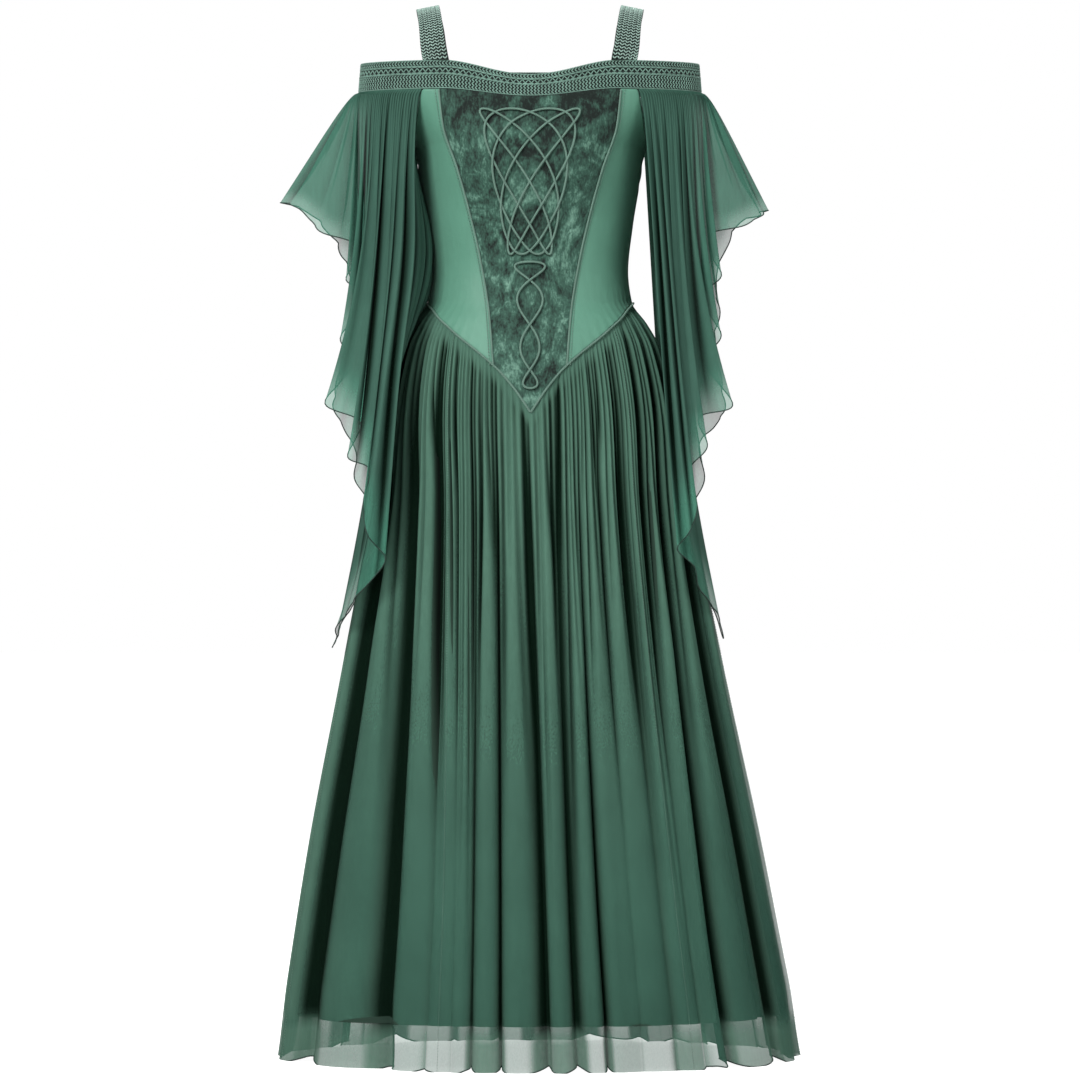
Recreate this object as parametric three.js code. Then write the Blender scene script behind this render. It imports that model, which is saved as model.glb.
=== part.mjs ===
// A medieval costume dress in its worn, hollow form with no wearer inside.
// A braid neckband rings the upper arms and hangs from two shoulder straps. Under it come a panelled bodice
// with a pointed waist, a gathered sheer skirt over a lining, and two long open sleeves with rippled hems.
// Millimetres, +Z up, the front faces -Y. Right and left are the wearer's, so the right side is at -X.
// The origin lies midway between the undersides of the two straps, where the shoulders carry the dress.
import * as THREE from 'three';

// Driving dimensions
const seamGap = 0.3;
const velvetWall = 2.2;
const satinWall = 1.8;
const sheerWall = 1.2;
const liningWall = 1.2;
const braidWall = 2.4;
const braidRib = 1.3;
const bandBottomZ = -111;
const bandTopZ = -73;
const bandDip = { top: 20, bottom: 11, angle: 32 };
const armholeAngle = 38.7;
const underarmZ = -187;
const hemZ = -1391;
const liningRise = 55;
const strapWidth = 31;
const strapFootWidth = 37;
const pipingRadius = 2;
const cordRadius = 1.6;

const satinGreen = { color: 0x66a188, roughness: 0.5, metalness: 0 };
const velvetGreen = { color: 0x3c5f52, roughness: 0.9, metalness: 0 };
const braidGreen = { color: 0x5c7c70, roughness: 0.8, metalness: 0 };
const sheerGreen = { color: 0x3f7860, roughness: 0.7, metalness: 0, transparent: true, opacity: 0.6 };
const liningGreen = { color: 0x2f5a49, roughness: 0.6, metalness: 0 };
const cordGreen = { color: 0x7d9a8c, roughness: 0.7, metalness: 0 };

const radians = THREE.MathUtils.degToRad;
const lerp = THREE.MathUtils.lerp;

// A smooth line through a table's rows that never overshoots them: value(key) for rows sorted by their key.
function lineThrough(rows, key, value) {
  const x = rows.map((row) => row[key]);
  const y = rows.map((row) => row[value]);
  const rise = x.slice(1).map((next, i) => (y[i + 1] - y[i]) / (next - x[i]));
  const slope = y.map((_, i) => {
    const before = rise[i - 1] ?? rise[i];
    const after = rise[i] ?? rise[i - 1];
    return before * after <= 0 ? 0 : (2 * before * after) / (before + after);
  });
  return (at) => {
    const ahead = x.findIndex((knot) => (x[0] < x[1] ? knot >= at : knot <= at));
    const i = Math.max(0, (ahead < 0 ? x.length - 1 : ahead) - 1);
    const span = x[i + 1] - x[i];
    const t = THREE.MathUtils.clamp((at - x[i]) / span, 0, 1);
    const start = (1 + 2 * t) * (1 - t) ** 2 * y[i] + t * (1 - t) ** 2 * span * slope[i];
    return start + t * t * (3 - 2 * t) * y[i + 1] + t * t * (t - 1) * span * slope[i + 1];
  };
}

// The figure that the dress is cut for, and below the waist the reach of the skirt's folds, by height.
// The skirt leans a little to the left.
const figure = [
  { z: -111, half: 228, front: 116, back: 100, lean: 0 },
  { z: -130, half: 206, front: 119, back: 101, lean: 0 },
  { z: -150, half: 185, front: 121, back: 102, lean: 0 },
  { z: -170, half: 166, front: 123, back: 103, lean: 0 },
  { z: -187, half: 155, front: 122, back: 104, lean: 0 },
  { z: -230, half: 147, front: 117, back: 101, lean: 0 },
  { z: -290, half: 137, front: 107, back: 95, lean: 0 },
  { z: -349, half: 131, front: 102, back: 92, lean: 0 },
  { z: -389, half: 136, front: 106, back: 98, lean: 0 },
  { z: -420, half: 159, front: 113, back: 112, lean: 0 },
  { z: -450, half: 176, front: 120, back: 124, lean: 0 },
  { z: -539, half: 200, front: 136, back: 146, lean: 1 },
  { z: -650, half: 215, front: 160, back: 168, lean: 2 },
  { z: -870, half: 256, front: 200, back: 208, lean: 4 },
  { z: -1101, half: 303, front: 238, back: 246, lean: 7 },
  { z: -1400, half: 357, front: 284, back: 292, lean: 14 },
  { z: -1420, half: 361, front: 287, back: 295, lean: 15 },
];
const halfWidthAt = lineThrough(figure, 'z', 'half');
const frontDepthAt = lineThrough(figure, 'z', 'front');
const backDepthAt = lineThrough(figure, 'z', 'back');
const leanAt = lineThrough(figure, 'z', 'lean');

// How far the bust stands out in front of the plain section.
const bust = { out: 70, z: -192, rise: 13, wide: 46, tall: 52 };
function bustAt(x, z) {
  const aside = (Math.abs(x) - bust.out) / bust.wide;
  const above = (z - bust.z) / bust.tall;
  return bust.rise * Math.exp(-(aside ** 2) - above ** 2);
}

// A point on the figure. Angles are in degrees from the front, and grow towards +X.
function figurePoint(angle, z) {
  const x = halfWidthAt(z) * Math.sin(radians(angle));
  const ahead = Math.cos(radians(angle));
  const depth = ahead > 0 ? frontDepthAt(z) : backDepthAt(z);
  return new THREE.Vector3(leanAt(z) + x, -depth * ahead - bustAt(x, z) * Math.max(0, ahead), z);
}

// The level direction straight out of the figure.
function outwards(angle, z) {
  const ahead = Math.cos(radians(angle));
  const depth = ahead > 0 ? frontDepthAt(z) : backDepthAt(z);
  return new THREE.Vector3(Math.sin(radians(angle)) / halfWidthAt(z), -ahead / depth, 0).normalize();
}

// Angles run from -180 to 180 on the seams' tables, which are alike on both sides.
const fromFront = (angle) => Math.abs(((angle + 540) % 360) - 180);

// How far the neckband's edge dips between the straps, in front only, as a share of the whole dip.
const dipAt = (angle) => (1 + Math.cos(Math.PI * Math.min(1, fromFront(angle) / bandDip.angle))) / 2;

// The armhole's edge falls from the band to the underarm, in front and behind alike.
const armhole = [
  { angle: armholeAngle, z: bandBottomZ },
  { angle: 45.5, z: -130 },
  { angle: 54.5, z: -150 },
  { angle: 68, z: -170 },
  { angle: 90, z: underarmZ },
];
const armholeZ = lineThrough(armhole, 'angle', 'z');
function bodiceTopZ(angle) {
  const turned = fromFront(angle);
  if (turned < armholeAngle) return bandBottomZ - bandDip.bottom * dipAt(angle);
  return armholeZ(Math.max(armholeAngle, Math.min(turned, 180 - turned)));
}

// The waist seam drops to a point in front.
const waistSeam = [
  { angle: 0, z: -539 },
  { angle: 6.5, z: -507 },
  { angle: 14, z: -480 },
  { angle: 29, z: -446 },
  { angle: 48, z: -417 },
  { angle: 68, z: -399 },
  { angle: 90, z: -391 },
  { angle: 135, z: -394 },
  { angle: 180, z: -402 },
];
const waistLine = lineThrough(waistSeam, 'angle', 'z');
function waistZ(angle) {
  return waistLine(fromFront(angle));
}

// The velvet panel's seams, as the distance from the centre line.
const velvetSeam = [
  { z: -111, out: 120 },
  { z: -160, out: 114 },
  { z: -217, out: 95 },
  { z: -279, out: 78 },
  { z: -342, out: 64 },
  { z: -405, out: 54 },
  { z: -481, out: 48 },
  { z: -560, out: 42 },
];
const velvetSeamOut = lineThrough(velvetSeam, 'z', 'out');
const velvetSeamAngle = (z) => THREE.MathUtils.radToDeg(Math.asin(velvetSeamOut(z) / halfWidthAt(z)));

// A solid between two grids of points alike in rows and columns: rows run downwards, columns run round.
function wallBetween(outer, inner, closed) {
  const rows = outer.length;
  const columns = outer[0].length;
  const positions = [...outer.flat(), ...inner.flat()].flatMap((point) => point.toArray());
  const outside = (row, column) => row * columns + (column % columns);
  const inside = (row, column) => outside(rows + row, column);
  const faces = [];
  const quad = (a, b, c, d) => faces.push(a, b, c, a, c, d);
  const last = rows - 1;
  const edge = columns - 1;
  for (let i = 0; i < (closed ? columns : edge); i++) {
    for (let row = 0; row < last; row++) {
      quad(outside(row, i), outside(row + 1, i), outside(row + 1, i + 1), outside(row, i + 1));
      quad(inside(row, i), inside(row, i + 1), inside(row + 1, i + 1), inside(row + 1, i));
    }
    quad(outside(0, i), outside(0, i + 1), inside(0, i + 1), inside(0, i));
    quad(outside(last, i), inside(last, i), inside(last, i + 1), outside(last, i + 1));
  }
  for (let row = 0; row < last && !closed; row++) {
    quad(outside(row, 0), inside(row, 0), inside(row + 1, 0), outside(row + 1, 0));
    quad(outside(row, edge), outside(row + 1, edge), inside(row + 1, edge), inside(row, edge));
  }
  const geometry = new THREE.BufferGeometry();
  geometry.setAttribute('position', new THREE.Float32BufferAttribute(positions, 3));
  geometry.setIndex(faces);
  return geometry;
}

function grid(rows, columns, pointAt) {
  const line = (row) => Array.from({ length: columns }, (_, column) => pointAt(row, column));
  return Array.from({ length: rows }, (_, row) => line(row));
}

// The direction out of the cloth, from the points next to it. It is level at a sewn edge, so that the edges
// of two pieces lie side by side. A loose hem, which may run steeply, takes the direction of the row above.
function clothNormal(rows, pointAt, row, column, looseHem = false) {
  const at = looseHem ? Math.min(row, rows - 2) : row;
  const here = pointAt(at, column);
  const above = pointAt(Math.max(at - 1, 0), column);
  const down = pointAt(Math.min(at + 1, rows - 1), column).clone().sub(above);
  const facing = (from, to) => down.clone().cross(to.clone().sub(from)).normalize();
  const out = facing(pointAt(at, column - 1), here).add(facing(here, pointAt(at, column + 1)));
  if (at === 0 || at === rows - 1) out.z = 0;
  return out.normalize();
}

// A wall of cloth under its outer points. An open panel is taken in by half a seam's gap at its sides.
function clothWall(rows, columns, pointAt, thickness, closed) {
  const outer = grid(rows, columns, pointAt);
  const inner = grid(rows, columns, (row, column) => {
    const out = clothNormal(rows, pointAt, row, column, closed);
    return pointAt(row, column).clone().addScaledVector(out, -thickness);
  });
  if (!closed) [outer, inner].forEach(takeInSides);
  return wallBetween(outer, inner, closed);
}

function takeInSides(points) {
  for (const line of points) {
    const last = line.length - 1;
    const first = new THREE.Vector3().subVectors(line[1], line[0]).setLength(seamGap / 2);
    const final = new THREE.Vector3().subVectors(line[last - 1], line[last]).setLength(seamGap / 2);
    line[0].add(first);
    line[last].add(final);
  }
}

const dress = new THREE.Group();
function sew(name, geometry, finish) {
  const mesh = new THREE.Mesh(geometry, new THREE.MeshStandardMaterial(finish));
  mesh.name = name;
  dress.add(mesh);
}

// One bodice panel between two seams, each an angle that varies with the height.
const bodiceRows = 14;
function bodicePanel(seamFrom, seamTo, columns, thickness) {
  const angleAt = (share, z) => lerp(seamFrom(z), seamTo(z), share);
  // Where the panel's line at a share of its width meets a slanting edge, found by steps towards it.
  const settle = (share, edge, start) => {
    let z = start;
    for (let turn = 0; turn < 30; turn++) z = lerp(z, edge(angleAt(share, z)), 0.6);
    return z;
  };
  const pointAt = (row, column) => {
    const share = column / (columns - 1);
    const top = settle(share, bodiceTopZ, bandBottomZ) - 3 * seamGap;
    const bottom = settle(share, waistZ, -450) + seamGap / 2;
    const z = lerp(top, bottom, row / (bodiceRows - 1));
    return figurePoint(angleAt(share, z), z);
  };
  return clothWall(bodiceRows, columns, pointAt, thickness, false);
}

const backRight = () => -180;
const sideRight = () => -90;
const frontRight = (z) => -velvetSeamAngle(z);
const frontLeft = velvetSeamAngle;
const sideLeft = () => 90;
const backLeft = () => 180;
sew('bodice_front_velvet', bodicePanel(frontRight, frontLeft, 11, velvetWall), velvetGreen);
sew('bodice_side_front_left', bodicePanel(frontLeft, sideLeft, 8, satinWall), satinGreen);
sew('bodice_side_front_right', bodicePanel(sideRight, frontRight, 8, satinWall), satinGreen);
sew('bodice_back_left', bodicePanel(sideLeft, backLeft, 7, satinWall), satinGreen);
sew('bodice_back_right', bodicePanel(backRight, sideRight, 7, satinWall), satinGreen);

// The neckband leans back over the chest, and its top edge dips between the straps.
const bandTop = { half: 225, front: 98, back: 90 };
function bandPoint(angle, share) {
  const side = Math.sin(radians(angle));
  const ahead = Math.cos(radians(angle));
  const low = figure[0];
  const depth = ahead > 0 ? lerp(low.front, bandTop.front, share) : lerp(low.back, bandTop.back, share);
  const dip = dipAt(angle) * lerp(bandDip.bottom, bandDip.top, share);
  const z = lerp(bandBottomZ, bandTopZ, share) - dip;
  return new THREE.Vector3(lerp(low.half, bandTop.half, share) * side, -depth * ahead, z);
}

// Raised braids run along the band and the straps: a row for each change across the width.
const braidProfile = [
  { across: 0, raised: 0 },
  { across: 0.1, raised: 1 },
  { across: 0.26, raised: 0.9 },
  { across: 0.34, raised: 0 },
  { across: 0.5, raised: 0.7 },
  { across: 0.66, raised: 0 },
  { across: 0.74, raised: 0.9 },
  { across: 0.9, raised: 1 },
  { across: 1, raised: 0 },
];

function neckband() {
  const columns = 40;
  const rows = braidProfile.length;
  const share = (row) => 1 - braidProfile[row].across;
  const pointAt = (row, column) => bandPoint((360 * column) / columns, share(row));
  const moved = (distance) =>
    grid(rows, columns, (row, column) =>
      pointAt(row, column).addScaledVector(clothNormal(rows, pointAt, row, column), distance(row)),
    );
  return wallBetween(moved((row) => braidRib * braidProfile[row].raised), moved(() => -braidWall), true);
}
sew('neckband', neckband(), braidGreen);

// A strap's way over the shoulder, from the front of the band to the back: a row for each point.
const strapWay = [
  { out: 124, y: -82, z: bandTopZ + seamGap },
  { out: 128, y: -75, z: -52 },
  { out: 131, y: -60, z: -27 },
  { out: 134, y: -36, z: -8 },
  { out: 136, y: -6, z: 0 },
  { out: 135, y: 24, z: -6 },
  { out: 131, y: 50, z: -25 },
  { out: 128, y: 68, z: -50 },
  { out: 124, y: 76, z: bandTopZ + seamGap },
];
function strap(side) {
  const way = new THREE.CatmullRomCurve3(strapWay.map((p) => new THREE.Vector3(side * p.out, p.y, p.z)));
  const steps = 14;
  const columns = [0, 0.15, 0.32, 0.5, 0.68, 0.85, 1];
  const raised = [0, 1, 0, 1, 0, 1, 0];
  const shoulderSlope = 0.2;
  const footTurn = { front: 0.44, back: -0.4 };
  const pointAt = (row, column, lift) => {
    const share = row / steps;
    const centre = way.getPoint(share);
    const along = way.getTangent(share);
    // At the band the strap lies along it, and on the shoulder it slopes down outwards.
    const foot = Math.abs(2 * share - 1) ** 3;
    const turned = side * foot * (share < 0.5 ? footTurn.front : footTurn.back);
    const across = new THREE.Vector3(1, turned, -side * shoulderSlope * (1 - foot));
    across.addScaledVector(along, -across.dot(along) * (1 - foot)).normalize();
    const out = new THREE.Vector3().crossVectors(across, along).normalize();
    const width = lerp(strapWidth, strapFootWidth, foot);
    return centre.addScaledVector(across, width * (0.5 - columns[column])).addScaledVector(out, lift);
  };
  const outer = grid(steps + 1, columns.length, (r, c) => pointAt(r, c, braidWall + braidRib * raised[c]));
  const inner = grid(steps + 1, columns.length, (r, c) => pointAt(r, c, 0));
  return wallBetween(outer, inner, false);
}
sew('strap_right', strap(-1), braidGreen);
sew('strap_left', strap(1), braidGreen);

// The skirt's folds: a row for each valley between two, as its angle at the waist seam and at the hem.
const frontValleys = [
  { top: -92, hem: -88 },
  { top: -74, hem: -63 },
  { top: -55, hem: -34 },
  { top: -40, hem: -22 },
  { top: -32, hem: -17 },
  { top: -23.5, hem: -12.5 },
  { top: -14, hem: -6.5 },
  { top: -1, hem: 3.4 },
  { top: 10, hem: 9.8 },
  { top: 19, hem: 16 },
  { top: 27, hem: 22 },
  { top: 37, hem: 30 },
  { top: 48, hem: 37 },
  { top: 62, hem: 47 },
  { top: 74, hem: 66 },
  { top: 90, hem: 86 },
];
const backFolds = 15;
const valleys = [...frontValleys];
const backFrom = 102;
const unevenBy = { top: 1.5, hem: 3 };
for (let i = 0; i < backFolds; i++) {
  const even = lerp(backFrom, 360 - backFrom, i / (backFolds - 1));
  const top = even + unevenBy.top * Math.sin(2.3 * i);
  valleys.push({ top, hem: even + unevenBy.hem * Math.sin(1.9 * i + 1) });
}
const foldSteps = [0, 0.13, 0.32, 0.5, 0.68, 0.87];
const foldDepth = { top: 3, least: 4, most: 30, perWidth: 0.42, fullFrom: 0.35 };
const valleysSettleBy = 0.87;

// A fold is a full, round arch between two sharp valleys.
const archFullness = 0.62;
const archAt = (share) => Math.abs(Math.sin(Math.PI * share)) ** archFullness;

const valleyAngle = (i, down) => {
  const turns = Math.floor(i / valleys.length);
  const valley = valleys[i - turns * valleys.length];
  const settled = Math.sin((Math.PI / 2) * Math.min(1, down / valleysSettleBy));
  return lerp(valley.top, valley.hem, settled) + 360 * turns;
};

// Where a fold's point lies: its angle, and how far it is taken in from the skirt's reach.
function foldAt(fold, share, down) {
  const from = valleyAngle(fold, down);
  const to = valleyAngle(fold + 1, down);
  const z = lerp(waistZ(from), hemZ, down);
  const width = (radians(to - from) * (halfWidthAt(z) + frontDepthAt(z))) / 2;
  const deepest = Math.min(foldDepth.most, foldDepth.least + foldDepth.perWidth * width);
  const depth = lerp(foldDepth.top, deepest, Math.min(1, down / foldDepth.fullFrom));
  return { angle: lerp(from, to, share), depth, takenIn: depth * (1 - archAt(share)) };
}

// Small gathers under the seam, three to a fold, die out a hand's width down.
const gathersPerFold = 3;
const gatherRise = 1.2;
const gatherFade = 9;
function skirtPoint(fold, share, down, inset, rise) {
  const { angle, takenIn } = foldAt(fold, share, down);
  const z = lerp(waistZ(angle) - 4 * seamGap, hemZ + rise, down);
  const wave = Math.cos(2 * Math.PI * gathersPerFold * share) * Math.exp(-gatherFade * down);
  const out = gatherRise * (wave - 1) - takenIn - inset;
  return figurePoint(angle, z).addScaledVector(outwards(angle, z), out);
}

// A panel of folded cloth, seamed on the crests of its first and last fold.
function foldedPanel(from, to, steps, rows, thickness, insetAt, rise) {
  const columns = (to - from) * steps.length + 1;
  const pointAt = (row, column) => {
    const place = column + steps.length / 2;
    const fold = from + Math.floor(place / steps.length);
    const share = steps[THREE.MathUtils.euclideanModulo(place, steps.length)];
    return skirtPoint(fold, share, rows[row], insetAt(rows[row]), rise);
  };
  return clothWall(rows.length, columns, pointAt, thickness, false);
}

// Six gores: a row for each, by its first and last fold.
const skirtRows = [0, 0.06, 0.18, 0.4, 0.68, 1];
const foldCount = valleys.length;
const gores = [
  { name: 'skirt_front_centre', from: 3, to: 11 },
  { name: 'skirt_front_left', from: 11, to: 15 },
  { name: 'skirt_back_left', from: 15, to: 20 },
  { name: 'skirt_back_centre', from: 20, to: 26 },
  { name: 'skirt_back_right', from: 26, to: 31 },
  { name: 'skirt_front_right', from: 31, to: foldCount + 3 },
];
for (const { name, from, to } of gores) {
  sew(name, foldedPanel(from, to, foldSteps, skirtRows, sheerWall, () => 0, 0), sheerGreen);
}

// The lining hangs inside the skirt, with the same folds and a shorter hem.
const liningSteps = [0, 0.25, 0.5, 0.75];
const liningRows = [0, 0.08, 0.3, 0.62, 1];
const liningInset = { top: 3.3, hem: 11, reachedBy: 0.25 };
function liningInsetAt(down) {
  return lerp(liningInset.top, liningInset.hem, Math.min(1, down / liningInset.reachedBy));
}
const liningPanels = [
  { name: 'lining_front', from: 1, to: 13 },
  { name: 'lining_left', from: 13, to: 18 },
  { name: 'lining_back', from: 18, to: 28 },
  { name: 'lining_right', from: 28, to: foldCount + 1 },
];
for (const { name, from, to } of liningPanels) {
  const panel = foldedPanel(from, to, liningSteps, liningRows, liningWall, liningInsetAt, liningRise);
  sew(name, panel, liningGreen);
}

// Sleeve hems, from the lowest tip under the arm forward to the front corner, and from there up and out to
// the tip beside the elbow. A row for each fold: out from the centre line, ahead of it, its height, and how
// late on its way down the cloth swings there. The cloth behind mirrors the cloth in front.
const sleeveHems = {
  right: {
    underarm: [
      { out: 264, ahead: -12, z: -850, swing: 2.6 },
      { out: 258, ahead: 38, z: -824, swing: 2.4 },
      { out: 241, ahead: 84, z: -800, swing: 2.2 },
      { out: 229, ahead: 112, z: -781, swing: 2 },
      { out: 212, ahead: 134, z: -764, swing: 1.8 },
    ],
    front: [
      { out: 189, ahead: 152, z: -731, swing: 1.2 },
      { out: 212, ahead: 170, z: -700, swing: 1.3 },
      { out: 218, ahead: 160, z: -659, swing: 1.4 },
      { out: 242, ahead: 147, z: -627, swing: 1.6 },
      { out: 239, ahead: 132, z: -598, swing: 1.6 },
      { out: 254, ahead: 118, z: -566, swing: 1.8 },
      { out: 270, ahead: 102, z: -527, swing: 2 },
      { out: 264, ahead: 85, z: -484, swing: 1.9 },
      { out: 251, ahead: 68, z: -440, swing: 1.7 },
      { out: 243, ahead: 54, z: -398, swing: 1.5 },
      { out: 244, ahead: 43, z: -362, swing: 1.3 },
      { out: 258, ahead: 33, z: -332, swing: 1.2 },
      { out: 280, ahead: 22, z: -296, swing: 1.1 },
      { out: 307, ahead: 13, z: -266, swing: 1 },
      { out: 333, ahead: 0, z: -257, swing: 1 },
    ],
  },
  left: {
    underarm: [
      { out: 258, ahead: -12, z: -838, swing: 2.6 },
      { out: 250, ahead: 40, z: -806, swing: 2.4 },
      { out: 234, ahead: 84, z: -784, swing: 2.2 },
      { out: 222, ahead: 112, z: -768, swing: 2 },
      { out: 216, ahead: 132, z: -742, swing: 1.8 },
    ],
    front: [
      { out: 193, ahead: 152, z: -718, swing: 1.2 },
      { out: 208, ahead: 167, z: -697, swing: 1.3 },
      { out: 219, ahead: 160, z: -664, swing: 1.4 },
      { out: 240, ahead: 144, z: -629, swing: 1.6 },
      { out: 233, ahead: 131, z: -584, swing: 1.6 },
      { out: 253, ahead: 117, z: -560, swing: 1.8 },
      { out: 267, ahead: 102, z: -530, swing: 2 },
      { out: 262, ahead: 86, z: -484, swing: 1.9 },
      { out: 253, ahead: 70, z: -436, swing: 1.7 },
      { out: 259, ahead: 56, z: -398, swing: 1.5 },
      { out: 254, ahead: 44, z: -356, swing: 1.3 },
      { out: 270, ahead: 33, z: -318, swing: 1.2 },
      { out: 286, ahead: 22, z: -288, swing: 1.1 },
      { out: 310, ahead: 12, z: -274, swing: 1 },
      { out: 318, ahead: 0, z: -267, swing: 1 },
    ],
  },
};

// The whole hem as a closed ring of rows: underarm, front, elbow tip, then both again behind.
const behindInset = 4;
const behindDepth = 0.92;
const behindWave = 8;
function hemRing({ underarm, front }) {
  const behind = (row, i) => ({
    ...row,
    out: row.out - behindInset,
    ahead: -behindDepth * row.ahead,
    z: row.z + behindWave * Math.sin(0.9 * i),
  });
  const outerBack = front.slice(0, -1).reverse().map(behind);
  const innerBack = underarm.slice(1).reverse().map(behind);
  return [...underarm, ...front, ...outerBack, ...innerBack];
}

// The edge that a sleeve hangs from: up the armhole, round the arm under the band, and down the armhole
// again. Shares run round it from the underarm, forward first.
const armholeShare = 0.15;
function sleeveTop(share) {
  const back = share > 0.5;
  const near = back ? 1 - share : share;
  const onArmhole = near < armholeShare;
  const turned = onArmhole
    ? lerp(90, armholeAngle, near / armholeShare)
    : lerp(armholeAngle, 90, (near - armholeShare) / (0.5 - armholeShare));
  const angle = back ? 180 - turned : turned;
  const z = onArmhole ? armholeZ(turned) : bandBottomZ;
  return figurePoint(angle, z - seamGap).addScaledVector(outwards(angle, z), sheerWall + 2 * seamGap);
}

// Pushes a point out of the skirt and bodice, to a clearance.
function clearOfSkirt(point, clearance) {
  const depth = point.y < 0 ? frontDepthAt(point.z) : backDepthAt(point.z);
  const half = halfWidthAt(point.z) + leanAt(point.z);
  const reach = Math.hypot(point.x / (half + clearance), point.y / (depth + clearance));
  if (reach < 1 && point.z < underarmZ) {
    point.x /= reach;
    point.y /= reach;
  }
  return point;
}

const sleeveRows = [0, 0.08, 0.25, 0.48, 0.74, 1];
const sleeveClearance = { inner: 5, outer: 12, reachedBy: 0.125, blendRows: 2 };
const sleeveMiddle = 215;
const sleeveSwell = 7;
const dentsEndAt = 0.6;
const sleeveDent = 4;
function sleeve(hems, side) {
  const ring = hemRing(hems);
  const hem = new THREE.CatmullRomCurve3(
    ring.map((row) => new THREE.Vector3(row.out, -row.ahead, row.z)), true, 'centripetal');
  const swings = ring.map((row) => row.swing);
  const columns = ring.length * 2;
  const frontCorner = hems.underarm.length;
  const elbow = frontCorner + hems.front.length - 1;
  // A row's place on the top edge: the armhole carries the underarm rows, the band carries the rest.
  const shareOfRow = (row) => {
    const mirrored = row > elbow ? 2 * elbow - row : row;
    const share = mirrored < frontCorner
      ? (armholeShare * Math.max(0, mirrored)) / frontCorner
      : lerp(armholeShare, 0.5, (mirrored - frontCorner) / (elbow - frontCorner));
    return row > elbow ? 1 - share : share;
  };
  const pointAt = (r, c) => {
    const row = THREE.MathUtils.euclideanModulo(c, columns) / 2;
    const down = sleeveRows[r];
    const top = sleeveTop(shareOfRow(row) % 1);
    const end = hem.getPoint(row / ring.length);
    const swing = lerp(swings[Math.floor(row)], swings[Math.ceil(row) % ring.length], row % 1);
    const moved = down ** swing;
    const point = top.clone().lerp(end, moved);
    point.z = lerp(top.z, end.z, down);
    // The cloth swells out under its gathers, and falls back between two folds.
    const outside = new THREE.Vector3(point.x - sleeveMiddle, point.y, 0).normalize();
    point.x += sleeveSwell * Math.sin(Math.PI * down ** 0.4);
    const dent = row % 1 ? sleeveDent * Math.sin(Math.PI * Math.min(1, down / dentsEndAt)) : 0;
    point.addScaledVector(outside, -dent);
    // The layer under the arm hugs the skirt, and the outer layer hangs over it from the corners on.
    const { inner, outer, blendRows, reachedBy } = sleeveClearance;
    const pastCorner = Math.min(row - frontCorner, 2 * elbow - frontCorner - row);
    const clearance = lerp(inner, outer, THREE.MathUtils.smoothstep(pastCorner, -blendRows, blendRows));
    return clearOfSkirt(point, clearance * Math.min(1, down / reachedBy));
  };
  const wall = clothWall(sleeveRows.length, columns, pointAt, sheerWall, true);
  return side > 0 ? wall : mirrored(wall);
}

// The same solid on the other side, with its faces turned round.
function mirrored(geometry) {
  const faces = geometry.index.array;
  for (let i = 0; i < faces.length; i += 3) [faces[i], faces[i + 1]] = [faces[i + 1], faces[i]];
  return geometry.scale(-1, 1, 1);
}
sew('sleeve_right', sleeve(sleeveHems.right, -1), sheerGreen);
sew('sleeve_left', sleeve(sleeveHems.left, 1), sheerGreen);

// A cord laid on the cloth: a ring of a few sides swept along points, each with its direction out.
function cord(stations, radius, sides, closed) {
  const count = stations.length;
  const ringAt = (i) => {
    const before = stations[closed ? (i + count - 1) % count : Math.max(0, i - 1)].point;
    const after = stations[closed ? (i + 1) % count : Math.min(count - 1, i + 1)].point;
    const along = new THREE.Vector3().subVectors(after, before).normalize();
    const out = stations[i].out.clone().addScaledVector(along, -stations[i].out.dot(along)).normalize();
    const across = new THREE.Vector3().crossVectors(out, along);
    return Array.from({ length: sides }, (_, k) => {
      const turn = (2 * Math.PI * (k + 0.5)) / sides + Math.PI;
      return stations[i].point.clone()
        .addScaledVector(out, radius * Math.cos(turn))
        .addScaledVector(across, radius * Math.sin(turn));
    });
  };
  const rings = stations.map((_, i) => ringAt(i));
  const faces = [];
  const index = (i, k) => (i % count) * sides + (k % sides);
  const triangle = (...corners) => faces.push(...corners.map(([i, k]) => index(i, k)));
  for (let i = 0; i < (closed ? count : count - 1); i++) {
    for (let k = 0; k < sides; k++) {
      triangle([i, k], [i + 1, k], [i + 1, k + 1]);
      triangle([i, k], [i + 1, k + 1], [i, k + 1]);
    }
  }
  for (let k = 1; k < sides - 1 && !closed; k++) {
    triangle([0, 0], [0, k], [0, k + 1]);
    triangle([count - 1, 0], [count - 1, k + 1], [count - 1, k]);
  }
  const positions = rings.flat().flatMap((point) => point.toArray());
  const geometry = new THREE.BufferGeometry();
  geometry.setAttribute('position', new THREE.Float32BufferAttribute(positions, 3));
  geometry.setIndex(faces);
  return geometry;
}

// A point above the bodice's cloth, with the direction out of it.
function onBodice(angle, z, lift) {
  const step = 2;
  const point = figurePoint(angle, z);
  const round = figurePoint(angle + step, z).sub(figurePoint(angle - step, z));
  const down = figurePoint(angle, z - step).sub(figurePoint(angle, z + step));
  const out = down.cross(round).normalize();
  return { point: point.addScaledVector(out, lift), out };
}

// Piping covers the waist seam and both seams of the velvet panel.
const pipingSides = 4;
const pipingLift = pipingRadius * Math.cos(Math.PI / pipingSides) + 4 * seamGap;
const waistSteps = 84;
const waistPiping = Array.from({ length: waistSteps }, (_, i) => {
  const angle = -180 + (360 * i) / waistSteps;
  const z = waistZ(angle);
  const out = outwards(angle, z);
  return { point: figurePoint(angle, z).addScaledVector(out, pipingLift), out };
});
sew('piping_waist', cord(waistPiping, pipingRadius, pipingSides, true), cordGreen);

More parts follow.
